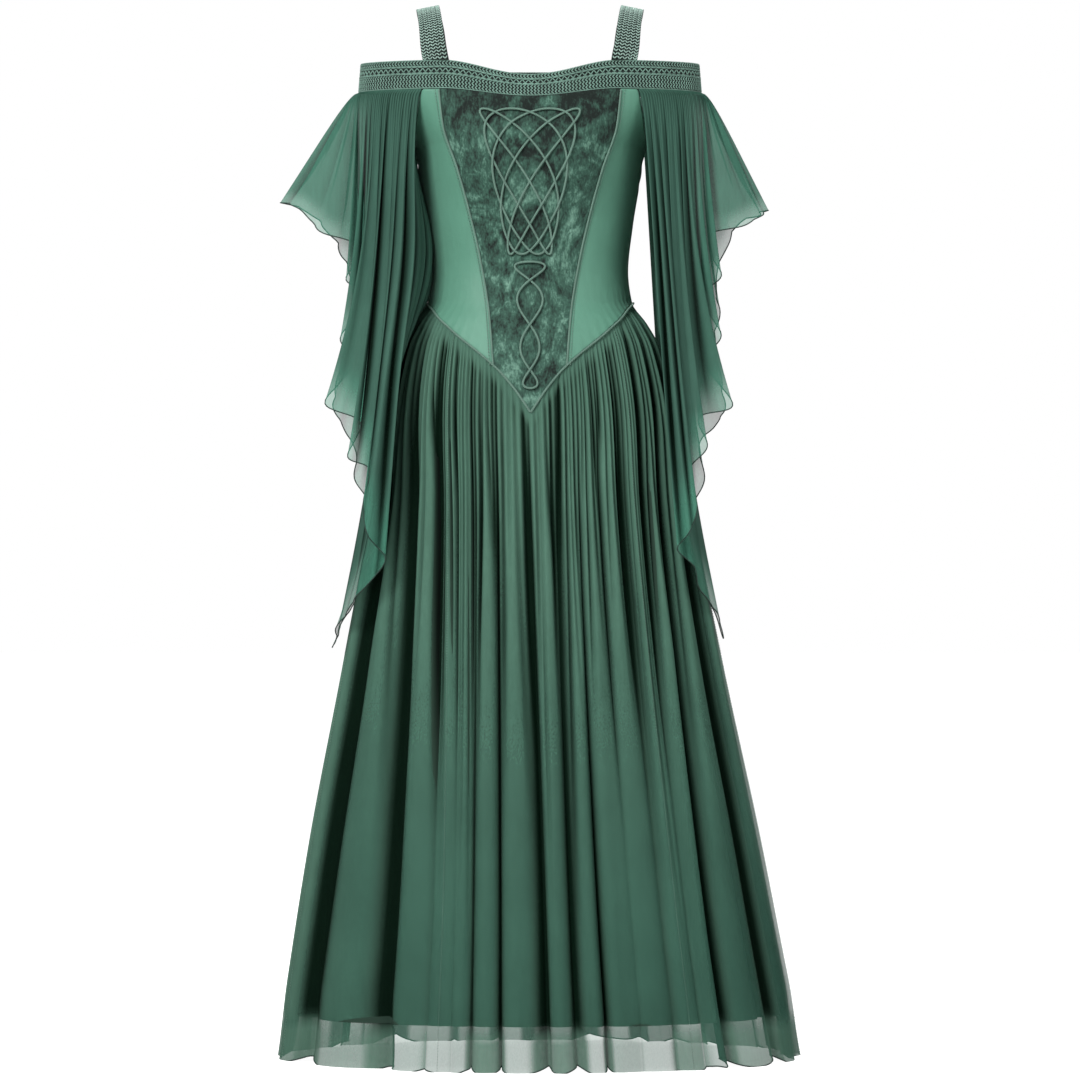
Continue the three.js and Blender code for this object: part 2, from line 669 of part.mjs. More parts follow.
const panelPipingRadius = 1.8;
const panelPipingEnds = { top: -113, bottom: -474 };
function panelPiping(side) {
  const steps = 20;
  const stations = Array.from({ length: steps + 1 }, (_, i) => {
    const z = lerp(panelPipingEnds.top, panelPipingEnds.bottom, i / steps);
    return onBodice(side * velvetSeamAngle(z), z, pipingLift);
  });
  return cord(stations, panelPipingRadius, pipingSides, false);
}
sew('piping_front_left', panelPiping(1), cordGreen);
sew('piping_front_right', panelPiping(-1), cordGreen);

// Couched interlace on the velvet: two closed plaits that bounce between an upper and a lower end, within a
// tapering half width. A plait's start is the turn, in degrees, by which its sweep leads its fall.
const upperPlait = {
  sweeps: 5,
  falls: 4,
  start: 22.5,
  top: -140,
  bottom: -330,
  wideTop: 66,
  wideBottom: 27,
  steps: 176,
};
const lowerPlait = {
  sweeps: 4,
  falls: 1,
  start: 0,
  top: -340,
  bottom: -508,
  wideTop: 20,
  wideBottom: 9,
  steps: 64,
};

// A three-sided cord rests on a flat side, half its radius under its middle.
const plaitLift = cordRadius / 2 + 3 * seamGap;

// The cord's place at a turn, flat on the panel.
function plaitPlace({ sweeps, falls, start, wideTop, wideBottom }, turn) {
  const fall = (1 - Math.cos(falls * turn)) / 2;
  return { x: lerp(wideTop, wideBottom, fall) * Math.sin(sweeps * turn + radians(start)), fall };
}

// The cord goes over and under by turns at its crossings, which lie at even turns: 1 for over, 0 for under,
// and between the two where it bounces.
function crossingLevels(plait) {
  const places = Array.from({ length: 4 * plait.sweeps * plait.falls }, (_, i) =>
    plaitPlace(plait, (Math.PI * i) / (2 * plait.sweeps * plait.falls)),
  );
  const meets = (a) => places.some((b) => b !== a && Math.hypot(a.x - b.x, a.fall - b.fall) < 1e-6);
  let over = 0;
  return places.map((place) => {
    if (!meets(place)) return 0.5;
    over = 1 - over;
    return over;
  });
}

function plaitStations(plait) {
  const levels = crossingLevels(plait);
  return Array.from({ length: plait.steps }, (_, i) => {
    const turn = (2 * Math.PI * i) / plait.steps;
    const { x, fall } = plaitPlace(plait, turn);
    const z = lerp(plait.top, plait.bottom, fall);
    const angle = THREE.MathUtils.radToDeg(Math.asin(x / halfWidthAt(z)));
    const slot = (i / plait.steps) * levels.length;
    const before = Math.floor(slot);
    const eased = THREE.MathUtils.smoothstep(slot - before, 0, 1);
    const level = lerp(levels[before], levels[(before + 1) % levels.length], eased);
    return onBodice(angle, z, plaitLift + (2 * cordRadius + seamGap) * level);
  });
}
sew('interlace_upper', cord(plaitStations(upperPlait), cordRadius, 3, true), cordGreen);
sew('interlace_lower', cord(plaitStations(lowerPlait), cordRadius, 3, true), cordGreen);

export default dress;
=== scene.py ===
import math

import bpy
import numpy as np
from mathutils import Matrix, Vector


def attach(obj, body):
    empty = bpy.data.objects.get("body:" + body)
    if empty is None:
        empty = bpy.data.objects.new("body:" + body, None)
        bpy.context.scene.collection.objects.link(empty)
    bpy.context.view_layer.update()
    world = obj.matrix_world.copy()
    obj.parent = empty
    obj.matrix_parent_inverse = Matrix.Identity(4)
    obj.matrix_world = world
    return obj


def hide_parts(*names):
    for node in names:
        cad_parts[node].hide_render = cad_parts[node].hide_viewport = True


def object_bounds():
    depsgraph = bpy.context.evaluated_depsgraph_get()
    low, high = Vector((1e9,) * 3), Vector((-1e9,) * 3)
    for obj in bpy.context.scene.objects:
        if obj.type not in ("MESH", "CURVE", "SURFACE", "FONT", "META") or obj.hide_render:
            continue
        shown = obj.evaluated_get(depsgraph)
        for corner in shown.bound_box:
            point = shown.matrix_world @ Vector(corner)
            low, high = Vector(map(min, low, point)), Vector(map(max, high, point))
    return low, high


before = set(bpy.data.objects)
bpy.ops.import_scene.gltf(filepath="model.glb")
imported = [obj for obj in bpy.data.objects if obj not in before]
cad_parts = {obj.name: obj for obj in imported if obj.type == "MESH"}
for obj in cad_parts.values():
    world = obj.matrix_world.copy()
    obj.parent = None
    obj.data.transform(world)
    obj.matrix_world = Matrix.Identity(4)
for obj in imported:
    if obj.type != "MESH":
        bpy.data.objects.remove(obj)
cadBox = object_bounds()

# A medieval costume dress, worn and hollow. The sewing pattern below is in millimetres, as a dressmaker
# would note it, and every mesh is made in metres.
millimetre = 0.001
scene = bpy.context.scene

# camera at the photograph's angle, level and far away, with a long lens
camera = {"x": 0.0133, "z": -0.7067, "away": 8.5, "frameSide": 1.44, "sensor": 36.0, "sight": 60.0}


def makeCamera(c):
    data = bpy.data.cameras.new("photoCamera")
    data.sensor_width = c["sensor"]
    data.lens = c["sensor"] * c["away"] / c["frameSide"]
    data.clip_end = c["sight"]
    obj = bpy.data.objects.new("photoCamera", data)
    obj.location = (c["x"], -c["away"], c["z"])
    obj.rotation_euler = (math.radians(90), 0, 0)
    scene.collection.objects.link(obj)
    scene.camera = obj


makeCamera(camera)
print("camera ready")


# numbers and tables
def mix(start, end, share):
    return start + (end - start) * share


def smoothStep(value, low, high):
    t = np.clip((value - low) / (high - low), 0, 1)
    return t * t * (3 - 2 * t)


def bell(value, width):
    return np.exp(-(value / width) ** 2)


def unit(vectors):
    return vectors / np.maximum(1e-9, np.linalg.norm(vectors, axis=-1, keepdims=True))


def runAlong(points):  # how far each point of a line lies from its start
    return np.append(0, np.cumsum(np.linalg.norm(np.diff(points, axis=0), axis=1)))


def table(columns, *rows):  # rows with named columns, as a dictionary of arrays
    return {name: np.array(values, float) for name, values in zip(columns.split(), zip(*rows))}


def lineThrough(x, y):  # a smooth line through a table that never overshoots it
    if x[0] > x[-1]:
        x, y = x[::-1], y[::-1]
    rise = np.diff(y) / np.diff(x)
    before = np.append(rise[0], rise)
    after = np.append(rise, rise[-1])
    both = before * after > 0
    slope = np.where(both, 2 * before * after / np.where(both, before + after, 1), 0)

    def at(value):
        value = np.clip(value, x[0], x[-1])
        i = np.clip(np.searchsorted(x, value) - 1, 0, len(x) - 2)
        span = x[i + 1] - x[i]
        t = (value - x[i]) / span
        start = (1 + 2 * t) * (1 - t) ** 2 * y[i] + t * (1 - t) ** 2 * span * slope[i]
        return start + t * t * (3 - 2 * t) * y[i + 1] + t * t * (t - 1) * span * slope[i + 1]

    return at


def unevenness(seed, waves, across, down):  # soft noise round and down the cloth, about -1 to 1
    draw = np.random.default_rng(seed)
    turns = draw.integers(1, across + 1, waves)
    falls = draw.uniform(-down, down, waves)
    phases = draw.uniform(0, 2 * math.pi, waves)

    def at(turn, fall):
        total = 0
        for n, f, phase in zip(turns, falls, phases):
            total = total + np.sin(2 * math.pi * (n * turn + f * fall) + phase)
        return total / math.sqrt(waves)

    return at


# The figure that the dress is cut for, and below the waist the reach of the skirt's folds.
figure = table(
    "z half front back lean",
    (-1420, 361, 287, 295, 15),
    (-1400, 357, 284, 292, 14),
    (-1101, 303, 238, 246, 7),
    (-870, 256, 200, 208, 4),
    (-650, 215, 160, 168, 2),
    (-539, 200, 136, 146, 1),
    (-450, 176, 120, 124, 0),
    (-420, 159, 113, 112, 0),
    (-389, 136, 106, 98, 0),
    (-349, 131, 102, 92, 0),
    (-290, 137, 107, 95, 0),
    (-230, 147, 117, 101, 0),
    (-187, 155, 122, 104, 0),
    (-170, 166, 123, 103, 0),
    (-150, 185, 121, 102, 0),
    (-130, 206, 119, 101, 0),
    (-111, 228, 116, 100, 0),
)
halfWidthAt, frontDepthAt, backDepthAt, leanAt = (
    lineThrough(figure["z"], figure[name]) for name in ("half", "front", "back", "lean")
)
bust = {"out": 70, "z": -192, "rise": 13, "wide": 46, "tall": 52}
bodiceCut = {
    "bandBottom": -111,
    "bandTop": -73,
    "armholeAngle": 38.7,
    "underarm": -187,
    "dipAngle": 32,
    "dipTop": 20,
    "dipBottom": 11,
    "seamGap": 0.3,
}


def figurePoint(angle, z):  # angles in degrees from the front, growing towards +X
    side, ahead = np.sin(np.radians(angle)), np.cos(np.radians(angle))
    x = halfWidthAt(z) * side
    depth = np.where(ahead > 0, frontDepthAt(z), backDepthAt(z))
    swell = bust["rise"] * bell(np.abs(x) - bust["out"], bust["wide"]) * bell(z - bust["z"], bust["tall"])
    return np.stack([leanAt(z) + x, -depth * ahead - swell * np.maximum(0, ahead), z + 0 * x], axis=-1)


def outwards(angle, z):
    side, ahead = np.sin(np.radians(angle)), np.cos(np.radians(angle))
    depth = np.where(ahead > 0, frontDepthAt(z), backDepthAt(z))
    return unit(np.stack([side / halfWidthAt(z), -ahead / depth, 0 * side + 0 * z], axis=-1))


def fromFront(angle):
    return np.abs((angle + 540) % 360 - 180)


def dipAt(angle):
    return (1 + np.cos(math.pi * np.minimum(1, fromFront(angle) / bodiceCut["dipAngle"]))) / 2


armhole = table("angle z", (38.7, -111), (45.5, -130), (54.5, -150), (68, -170), (90, -187))
armholeZ = lineThrough(armhole["angle"], armhole["z"])
waistSeam = table(
    "angle z",
    (0, -539),
    (6.5, -507),
    (14, -480),
    (29, -446),
    (48, -417),
    (68, -399),
    (90, -391),
    (135, -394),
    (180, -402),
)
waistLine = lineThrough(waistSeam["angle"], waistSeam["z"])
velvetSeam = table(
    "z out",
    (-560, 42),
    (-481, 48),
    (-405, 54),
    (-342, 64),
    (-279, 78),
    (-217, 95),
    (-160, 114),
    (-111, 120),
)
velvetSeamOut = lineThrough(velvetSeam["z"], velvetSeam["out"])


def waistZ(angle):
    return waistLine(fromFront(angle))


def bodiceTopZ(angle):
    turned = fromFront(angle)
    edge = bodiceCut["armholeAngle"]
    onBand = bodiceCut["bandBottom"] - bodiceCut["dipBottom"] * dipAt(angle)
    onArmhole = armholeZ(np.maximum(edge, np.minimum(turned, 180 - turned)))
    return np.where(turned < edge, onBand, onArmhole)


def velvetSeamAngle(z):
    return np.degrees(np.arcsin(velvetSeamOut(z) / halfWidthAt(z)))


# materials: small helpers, then the shared effects as node groups
def linear(*eightBit):  # a colour given in 0 to 255, as the shader's light values
    shares = [c / 255 for c in eightBit]
    return tuple(((c + 0.055) / 1.055) ** 2.4 if c > 0.04045 else c / 12.92 for c in shares)


def addNode(tree, kind, inputs, **settings):  # a node with its settings, its values and its links
    node = tree.nodes.new(kind)
    for name, value in settings.items():
        setattr(node, name, value)
    for name, value in inputs.items():
        if isinstance(value, bpy.types.NodeSocket):
            tree.links.new(value, node.inputs[name])
        else:
            node.inputs[name].default_value = value
    return node


def mathNode(tree, operation, first, second=0.5, clamp=False):
    inputs = {0: first, 1: second}
    return addNode(tree, "ShaderNodeMath", inputs, operation=operation, use_clamp=clamp).outputs[0]


def weighed(tree, *pairs):  # the sum of some values, each times its weight
    parts = [mathNode(tree, "MULTIPLY", value, weight) for value, weight in pairs]
    total = parts[0]
    for part in parts[1:]:
        total = mathNode(tree, "ADD", total, part)
    return total


def mixColour(tree, share, first, second, blend="MIX"):
    inputs = {0: share, 6: first, 7: second}
    return addNode(tree, "ShaderNodeMix", inputs, data_type="RGBA", blend_type=blend).outputs[2]


def rangeNode(tree, value, low, high, outLow, outHigh):
    inputs = {"Value": value, "From Min": low, "From Max": high, "To Min": outLow, "To Max": outHigh}
    return addNode(tree, "ShaderNodeMapRange", inputs).outputs["Result"]


def noiseNode(tree, vector, scale, detail=2.0, roughness=0.5, distortion=0.0):
    inputs = {"Vector": vector, "Scale": scale, "Detail": detail, "Roughness": roughness}
    return addNode(tree, "ShaderNodeTexNoise", {**inputs, "Distortion": distortion}).outputs["Fac"]


def stretched(tree, vector, scale):
    return addNode(tree, "ShaderNodeMapping", {"Vector": vector, "Scale": scale}).outputs["Vector"]


def noted(tree, name):  # a number that clothPiece noted for each point of the cloth
    return addNode(tree, "ShaderNodeAttribute", {}, attribute_name=name).outputs["Fac"]


def newGroup(name, inputs, outputs):
    group = bpy.data.node_groups.new(name, "ShaderNodeTree")
    for label, kind, value in inputs:
        socket = group.interface.new_socket(label, in_out="INPUT", socket_type="NodeSocket" + kind)
        if value is not None:
            socket.default_value = value
    for label, kind in outputs:
        group.interface.new_socket(label, in_out="OUTPUT", socket_type="NodeSocket" + kind)
    return group, group.nodes.new("NodeGroupInput").outputs, group.nodes.new("NodeGroupOutput").inputs


def makeWeaveGroup():  # threads over and under by turns, in the cloth's own measure
    group, given, out = newGroup(
        "plainWeave",
        [("Cloth", "Vector", None), ("Threads per metre", "Float", 1500.0)],
        [("Height", "Float"), ("Gaps", "Float")],
    )
    place = addNode(group, "ShaderNodeSeparateXYZ", {0: given["Cloth"]}).outputs
    turn = mathNode(group, "MULTIPLY", given["Threads per metre"], math.pi)
    warp = mathNode(group, "SINE", mathNode(group, "MULTIPLY", place[0], turn))
    weft = mathNode(group, "SINE", mathNode(group, "MULTIPLY", place[1], turn))
    over = mathNode(group, "MULTIPLY", warp, weft)
    ridge = mathNode(group, "MAXIMUM", mathNode(group, "ABSOLUTE", warp), mathNode(group, "ABSOLUTE", weft))
    group.links.new(rangeNode(group, over, -1.0, 1.0, 0.0, 1.0), out["Height"])
    group.links.new(rangeNode(group, ridge, 0.3, 0.9, 1.0, 0.0), out["Gaps"])
    return group


def makeDyeGroup():  # dye that took unevenly: soft clouds and fine streaks down the cloth
    group, given, out = newGroup(
        "unevenDye",
        [
            ("Place", "Vector", None),
            ("Colour", "Color", (0.1, 0.2, 0.15, 1)),
            ("Cloud size", "Float", 9.0),
            ("Amount", "Float", 0.15),
        ],
        [("Colour", "Color"), ("Cloud", "Float")],
    )
    cloud = noiseNode(group, given["Place"], given["Cloud size"], 3.0, 0.55, 0.4)
    streak = noiseNode(group, stretched(group, given["Place"], (260.0, 260.0, 14.0)), 1.0)
    centred = mathNode(group, "SUBTRACT", weighed(group, (cloud, 0.65), (streak, 0.35)), 0.5)
    change = mathNode(group, "MULTIPLY", centred, mathNode(group, "MULTIPLY", given["Amount"], 4.0))
    level = mathNode(group, "ADD", change, 1.0)
    grey = addNode(group, "ShaderNodeCombineColor", {0: level, 1: level, 2: level}).outputs[0]
    group.links.new(mixColour(group, 1.0, given["Colour"], grey, "MULTIPLY"), out["Colour"])
    group.links.new(cloud, out["Cloud"])
    return group


def makeCrinkleGroup():  # the crepe grain of the cloth and its long fine creases
    group, given, out = newGroup(
        "crepeCrinkle",
        [("Place", "Vector", None), ("Grain size", "Float", 650.0), ("Crease size", "Float", 170.0)],
        [("Height", "Float"), ("Grain", "Float")],
    )
    short, long = (stretched(group, given["Place"], (1.0, 1.0, share)) for share in (0.45, 0.1))
    grain = noiseNode(group, short, given["Grain size"], roughness=0.6)
    crease = noiseNode(group, long, given["Crease size"], distortion=0.3)
    group.links.new(weighed(group, (grain, 0.35), (crease, 0.65)), out["Height"])
    group.links.new(grain, out["Grain"])
    return group


weaveGroup, dyeGroup, crinkleGroup = makeWeaveGroup(), makeDyeGroup(), makeCrinkleGroup()


def newMaterial(name, **plain):  # a principled surface, with what is the same all over it set on its sockets
    material = bpy.data.materials.new(name)
    material.use_nodes = True
    tree = material.node_tree
    shader = tree.nodes["Principled BSDF"]
    for label, value in plain.items():
        shader.inputs[label.replace("_", " ")].default_value = value
    coords = tree.nodes.new("ShaderNodeTexCoord").outputs
    return material, tree, shader, coords


def fillGroup(tree, group, inputs):
    return addNode(tree, "ShaderNodeGroup", inputs, node_tree=group).outputs


def dyed(tree, shader, coords, colour, cloudSize, amount):  # the surface's colour, dyed a little unevenly
    inputs = {"Place": coords["Object"], "Colour": colour, "Cloud size": cloudSize, "Amount": amount}
    dye = fillGroup(tree, dyeGroup, inputs)
    tree.links.new(dye["Colour"], shader.inputs["Base Color"])
    return dye["Cloud"]


def bump(tree, shader, height, distance, strength):
    inputs = {"Height": height, "Distance": distance, "Strength": strength}
    tree.links.new(addNode(tree, "ShaderNodeBump", inputs).outputs["Normal"], shader.inputs["Normal"])


# cloth where one layer lies flat, where it is gathered, how far each covers, and the colour painted as shade
# where a fold lies in a hollow
chiffonLook = {
    "skirt": {"thin": (0.062, 0.165, 0.12), "dense": (0.094, 0.19, 0.14), "cover": (0.55, 0.96)},
    "sleeve": {"thin": (0.075, 0.25, 0.175), "dense": (0.047, 0.113, 0.085), "cover": (0.58, 0.97)},
    # deep: painted shade, the colour of the folds' hollows
    "deep": linear(7, 24, 15),
    "grain": 0.025,
    "cloudSize": 7.0,
    "unevenness": 0.18,
    "threads": 1800.0,
    "gaps": 0.03,
    "relief": 0.0006,
}


def makeChiffon(name, look):
    material, tree, shader, coords = newMaterial(name, Roughness=0.75, Specular_IOR_Level=0.03)
    gathered, shadow = noted(tree, "gathered"), noted(tree, "hollow")
    # Gathered blends to cloth laid double, partly real layering and partly painted shade, since the hollows
    # count as gathered; the hollow blend to the deep colour is painted shade.
    layered = mixColour(tree, gathered, (*look["thin"], 1), (*look["dense"], 1))
    colour = mixColour(tree, shadow, layered, (*chiffonLook["deep"], 1))
    dyed(tree, shader, coords, colour, chiffonLook["cloudSize"], chiffonLook["unevenness"])
    crinkle = fillGroup(tree, crinkleGroup, {"Place": coords["Object"]})
    weave = fillGroup(tree, weaveGroup, {"Cloth": coords["UV"], "Threads per metre": chiffonLook["threads"]})
    layers = rangeNode(tree, gathered, 0.0, 1.0, *look["cover"])
    grain = rangeNode(tree, crinkle["Grain"], 0.3, 0.7, -chiffonLook["grain"], chiffonLook["grain"])
    opened = weighed(tree, (grain, 1.0), (weave["Gaps"], -chiffonLook["gaps"]))
    tree.links.new(mathNode(tree, "ADD", layers, opened, clamp=True), shader.inputs["Alpha"])
    height = weighed(tree, (crinkle["Height"], 1.0), (weave["Height"], 0.08))
    bump(tree, shader, height, chiffonLook["relief"], 0.4)
    return material


# woven cloths: the colour, how large its clouds are and how strong, its roughness, threads a metre and relief
liningLook = {
    "colour": linear(44, 64, 54),
    "cloudSize": 6.0,
    "unevenness": 0.10,
    "roughness": (0.6, 0.75),
    "threads": 2200.0,
    "relief": 0.0004,
}
satinLook = {
    "colour": linear(90, 142, 121),
    "cloudSize": 12.0,
    "unevenness": 0.08,
    "roughness": (0.40, 0.52),
    "threads": 2600.0,
    "relief": 0.0005,
}


def makeWoven(name, look, **plain):
    material, tree, shader, coords = newMaterial(name, **plain)
    # Painted shade: where the cloth lies in a fold's hollow, its colour darkens towards 0.12 of itself.
    deep = (*(0.12 * c for c in look["colour"]), 1)
    colour = mixColour(tree, noted(tree, "hollow"), (*look["colour"], 1), deep)
    cloud = dyed(tree, shader, coords, colour, look["cloudSize"], look["unevenness"])
    weave = fillGroup(tree, weaveGroup, {"Cloth": coords["UV"], "Threads per metre": look["threads"]})
    tree.links.new(rangeNode(tree, cloud, 0.3, 0.7, *look["roughness"]), shader.inputs["Roughness"])
    soft = noiseNode(tree, coords["Object"], 60.0, 3.0)
    bump(tree, shader, weighed(tree, (soft, 3.0), (weave["Height"], 0.25)), look["relief"], 0.5)
    return material


velvetLook = {
    "deep": linear(8, 24, 19),
    "body": linear(52, 93, 78),
    "bright": linear(122, 166, 147),
    "darkAbove": (-0.19, -0.13, 0.0, 0.1),
    # how much shade is painted on the velvet between the interlace's cords
    "shadeInside": 0.03,
    "patches": 17.0,
    "strokes": 80.0,
    "nap": 380.0,
    "pile": 1400.0,
    "leanParts": (0.5, 0.26, 0.24),
    "relief": 0.0018,
}


def makeVelvet(look):  # crushed pile: patches that lean one way or the other, and catch the light or lose it
    material, tree, shader, coords = newMaterial("crushedVelvet", Sheen_Weight=0.1, Sheen_Roughness=0.35)
    place = coords["Object"]
    wide, middling, fine = (stretched(tree, place, (1.0, 1.0, share)) for share in (0.8, 0.55, 0.5))
    patches = noiseNode(tree, wide, look["patches"], 5.0, 0.62, 1.6)
    strokes = noiseNode(tree, middling, look["strokes"], 4.0, 0.65, 0.8)
    nap = noiseNode(tree, fine, look["nap"], 3.0, 0.7)
    height = addNode(tree, "ShaderNodeSeparateXYZ", {0: place}).outputs[2]
    above = rangeNode(tree, height, *look["darkAbove"])
    parts = zip((patches, strokes, nap), look["leanParts"])
    # The hollow note lowers lean: painted shade on the velvet between the interlace's cords.
    lean = weighed(tree, *parts, (above, -1.0), (noted(tree, "hollow"), -look["shadeInside"]))
    colour = (*look["deep"], 1)
    for brighter, low, high in (("body", 0.39, 0.52), ("bright", 0.51, 0.64)):
        colour = mixColour(tree, rangeNode(tree, lean, low, high, 0.0, 1.0), colour, (*look[brighter], 1))
    tree.links.new(colour, shader.inputs["Base Color"])
    tree.links.new(rangeNode(tree, lean, 0.35, 0.65, 0.95, 0.55), shader.inputs["Roughness"])
    pile = noiseNode(tree, place, look["pile"])
    bump(tree, shader, weighed(tree, (lean, 4.0), (pile, 0.4)), look["relief"], 0.7)
    return material


# cord, braid and stitches: the colour, how unevenly it is dyed, its roughness and its fibres to the metre
threadLooks = {
    "braidThread": (linear(114, 148, 135), 0.30, 0.55, 2200.0),
    "braidGround": (linear(14, 26, 22), 0.20, 0.85, 1600.0),
    "strapThread": (linear(150, 178, 167), 0.30, 0.55, 2200.0),
    "cordThread": (linear(104, 134, 121), 0.18, 0.5, 2200.0),
    "hemThread": (linear(40, 62, 54), 0.2, 0.7, 2400.0),
}


def makeThread(name):
    colour, amount, roughness, fibres = threadLooks[name]
    plain = {"Roughness": roughness, "Sheen_Weight": 0.1, "Specular_IOR_Level": 0.25}
    material, tree, shader, coords = newMaterial(name, **plain)
    dyed(tree, shader, coords, (*colour, 1), 40.0, amount)
    bump(tree, shader, noiseNode(tree, coords["Object"], fibres, roughness=0.7), 0.0004, 0.6)
    return material


chiffon = makeChiffon("skirtChiffon", chiffonLook["skirt"])
sleeveChiffon = makeChiffon("sleeveChiffon", chiffonLook["sleeve"])
lining = makeWoven("liningCloth", liningLook, Specular_IOR_Level=0.08, Sheen_Weight=0.02)
satin = makeWoven("satinCloth", satinLook, Specular_IOR_Level=0.35, Sheen_Weight=0.08)
velvet = makeVelvet(velvetLook)
braidThread, braidGround, strapThread, cordThread, hemThread = (makeThread(name) for name in threadLooks)
print("materials ready")

# meshes: cloth from a grid of points, cords and stitches along a line
def linkMesh(name, points, faces, material, slotName, *nodes):  # a piece, and the nodes that it stands for
    mesh = bpy.data.meshes.new(name)
    mesh.from_pydata(points.reshape(-1, 3) * millimetre, [], faces)
    mesh.materials.append(material)
    mesh.polygons.foreach_set("use_smooth", [True] * len(mesh.polygons))
    piece = bpy.data.objects.new(name, mesh)
    scene.collection.objects.link(piece)
    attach(piece, "root")
    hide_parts(*nodes)
    return piece


def gridFaces(rows, columns, closed, looped=False):  # closed joins the end columns, looped the end rows
    index = np.arange(rows * columns).reshape(rows, columns)
    if closed:
        index = np.hstack([index, index[:, :1]])
    if looped:
        index = np.vstack([index, index[:1]])
    corners = [index[:-1, :-1], index[1:, :-1], index[1:, 1:], index[:-1, 1:]]
    return np.stack(corners, axis=-1).reshape(-1, 4)


def addCut(piece, rows, columns, closed, cut):  # the cloth's own measure: metres across and down the flat cut
    steps = columns if closed else columns - 1
    across, down = np.meshgrid(np.arange(steps), np.arange(rows - 1))
    places = []
    for aside, below in ((0, 0), (0, 1), (1, 1), (1, 0)):
        places.append(np.stack([(across + aside) / steps * cut[0], (down + below) / (rows - 1) * cut[1]], -1))
    piece.data.uv_layers.new(name="cut").data.foreach_set("uv", np.stack(places, 2).ravel())


def clothPiece(name, points, material, slotName, node, cut, closed=False, thickness=0.0, **notes):
    rows, columns = points.shape[:2]
    piece = linkMesh(name, points, gridFaces(rows, columns, closed), material, slotName, node)
    addCut(piece, rows, columns, closed, cut)
    if thickness:
        wall = piece.modifiers.new("wall", "SOLIDIFY")
        wall.thickness = thickness * millimetre
        wall.offset = -1
    for note, values in notes.items():  # a number for each point of the cloth, for its material
        piece.data.attributes.new(note, "FLOAT", "POINT").data.foreach_set("value", np.ravel(values))
    return piece


def alongLine(points, closed):
    if closed:
        return unit(np.roll(points, -1, axis=0) - np.roll(points, 1, axis=0))
    return unit(np.gradient(points, axis=0))


def squared(outs, along):  # the outward ways made square to a line, and the ways across it
    outs = unit(outs - along * np.sum(outs * along, axis=1, keepdims=True))
    return outs, np.cross(outs, along)


def evenly(points, outs, spacing, closed):  # the same line with stations at even steps
    if closed:
        points, outs = np.vstack([points, points[:1]]), np.vstack([outs, outs[:1]])
    run = runAlong(points)
    count = max(4, round(run[-1] / spacing))
    at = np.linspace(0, run[-1], count + 1)[: count if closed else count + 1]
    points, outs = (np.stack([np.interp(at, run, way[:, k]) for k in range(3)], -1) for way in (points, outs))
    return points, unit(outs), run[-1]


def tubeParts(points, outs, radius, sides, closed):
    outs, across = squared(outs, alongLine(points, closed))
    turn = (2 * math.pi * (np.arange(sides) + 0.5) / sides)[:, None]
    body = points[:, None] + radius * (outs[:, None] * np.cos(turn) + across[:, None] * np.sin(turn))
    faces = np.roll(gridFaces(len(points), sides, True, closed)[:, ::-1], 1, axis=1).tolist()
    if not closed:
        lastRing = (len(points) - 1) * sides
        faces += [list(range(sides))[::-1], list(range(lastRing, lastRing + sides))]
    return body.reshape(-1, 3), faces


def joined(parts):
    points, faces, start = [], [], 0
    for verts, polygons in parts:
        points.append(verts)
        faces += [[corner + start for corner in face] for face in polygons]
        start += len(verts)
    return np.vstack(points), faces


ply = {"aside": 0.46, "radius": 0.56}  # as shares of the cord's radius


def twistedCord(points, outs, radius, lay, closed, sides=5, steps=7):  # two plies wound round each other
    points, outs, length = evenly(points, outs, lay / steps, closed)
    outs, across = squared(outs, alongLine(points, closed))
    turns = round(length / lay) if closed else length / lay
    turn = (np.arange(len(points)) / len(points) * turns * 2 * math.pi)[:, None]
    plies = []
    for start in (0, math.pi):
        aside = outs * np.cos(turn + start) + across * np.sin(turn + start)
        centre = points + ply["aside"] * radius * aside
        plies.append(tubeParts(centre, outs, ply["radius"] * radius, sides, closed))
    return joined(plies)


def stitchRow(points, outs, length, gap, radius):  # running stitches, each a small spindle
    points, outs, _ = evenly(points, outs, length + gap, False)
    along = alongLine(points, False)
    end, side, top = along * length / 2, np.cross(outs, along) * radius, outs * radius
    verts = np.stack([points + way for way in (-end, side, top, -side, -top, end)], 1).reshape(-1, 3)
    shape = np.array([(0, 2, 1), (0, 3, 2), (0, 4, 3), (0, 1, 4), (5, 1, 2), (5, 2, 3), (5, 3, 4), (5, 4, 1)])
    faces = (shape[None] + 6 * np.arange(len(points))[:, None, None]).reshape(-1, 3)
    return verts, faces


# bodice: five panels on the figure, with puckers beside the waist seam and soft drags under the arms
bodice = {
    "rows": 110,
    "settleSteps": 30,
    "settleShare": 0.6,
    "waistStart": -450,
    "walls": {"velvet": 1.6, "satin": 1.2},
    "puckerDepth": 0.55,
    "puckerPitch": 13.0,
    "puckerReach": 16.0,
    "puckerSpread": 2.4,
    "velvetSwell": 0.35,
    "velvetAcross": 240,
    "velvetDown": 420,
}
underarmDrags = [
    {"z": 205, "lean": 1.1, "tall": 9, "wide": 22, "depth": 1.3},
    {"z": 232, "lean": 0.8, "tall": 7, "wide": 16, "depth": 0.9},
]
velvetUneven = unevenness(5, 9, 7, 5)


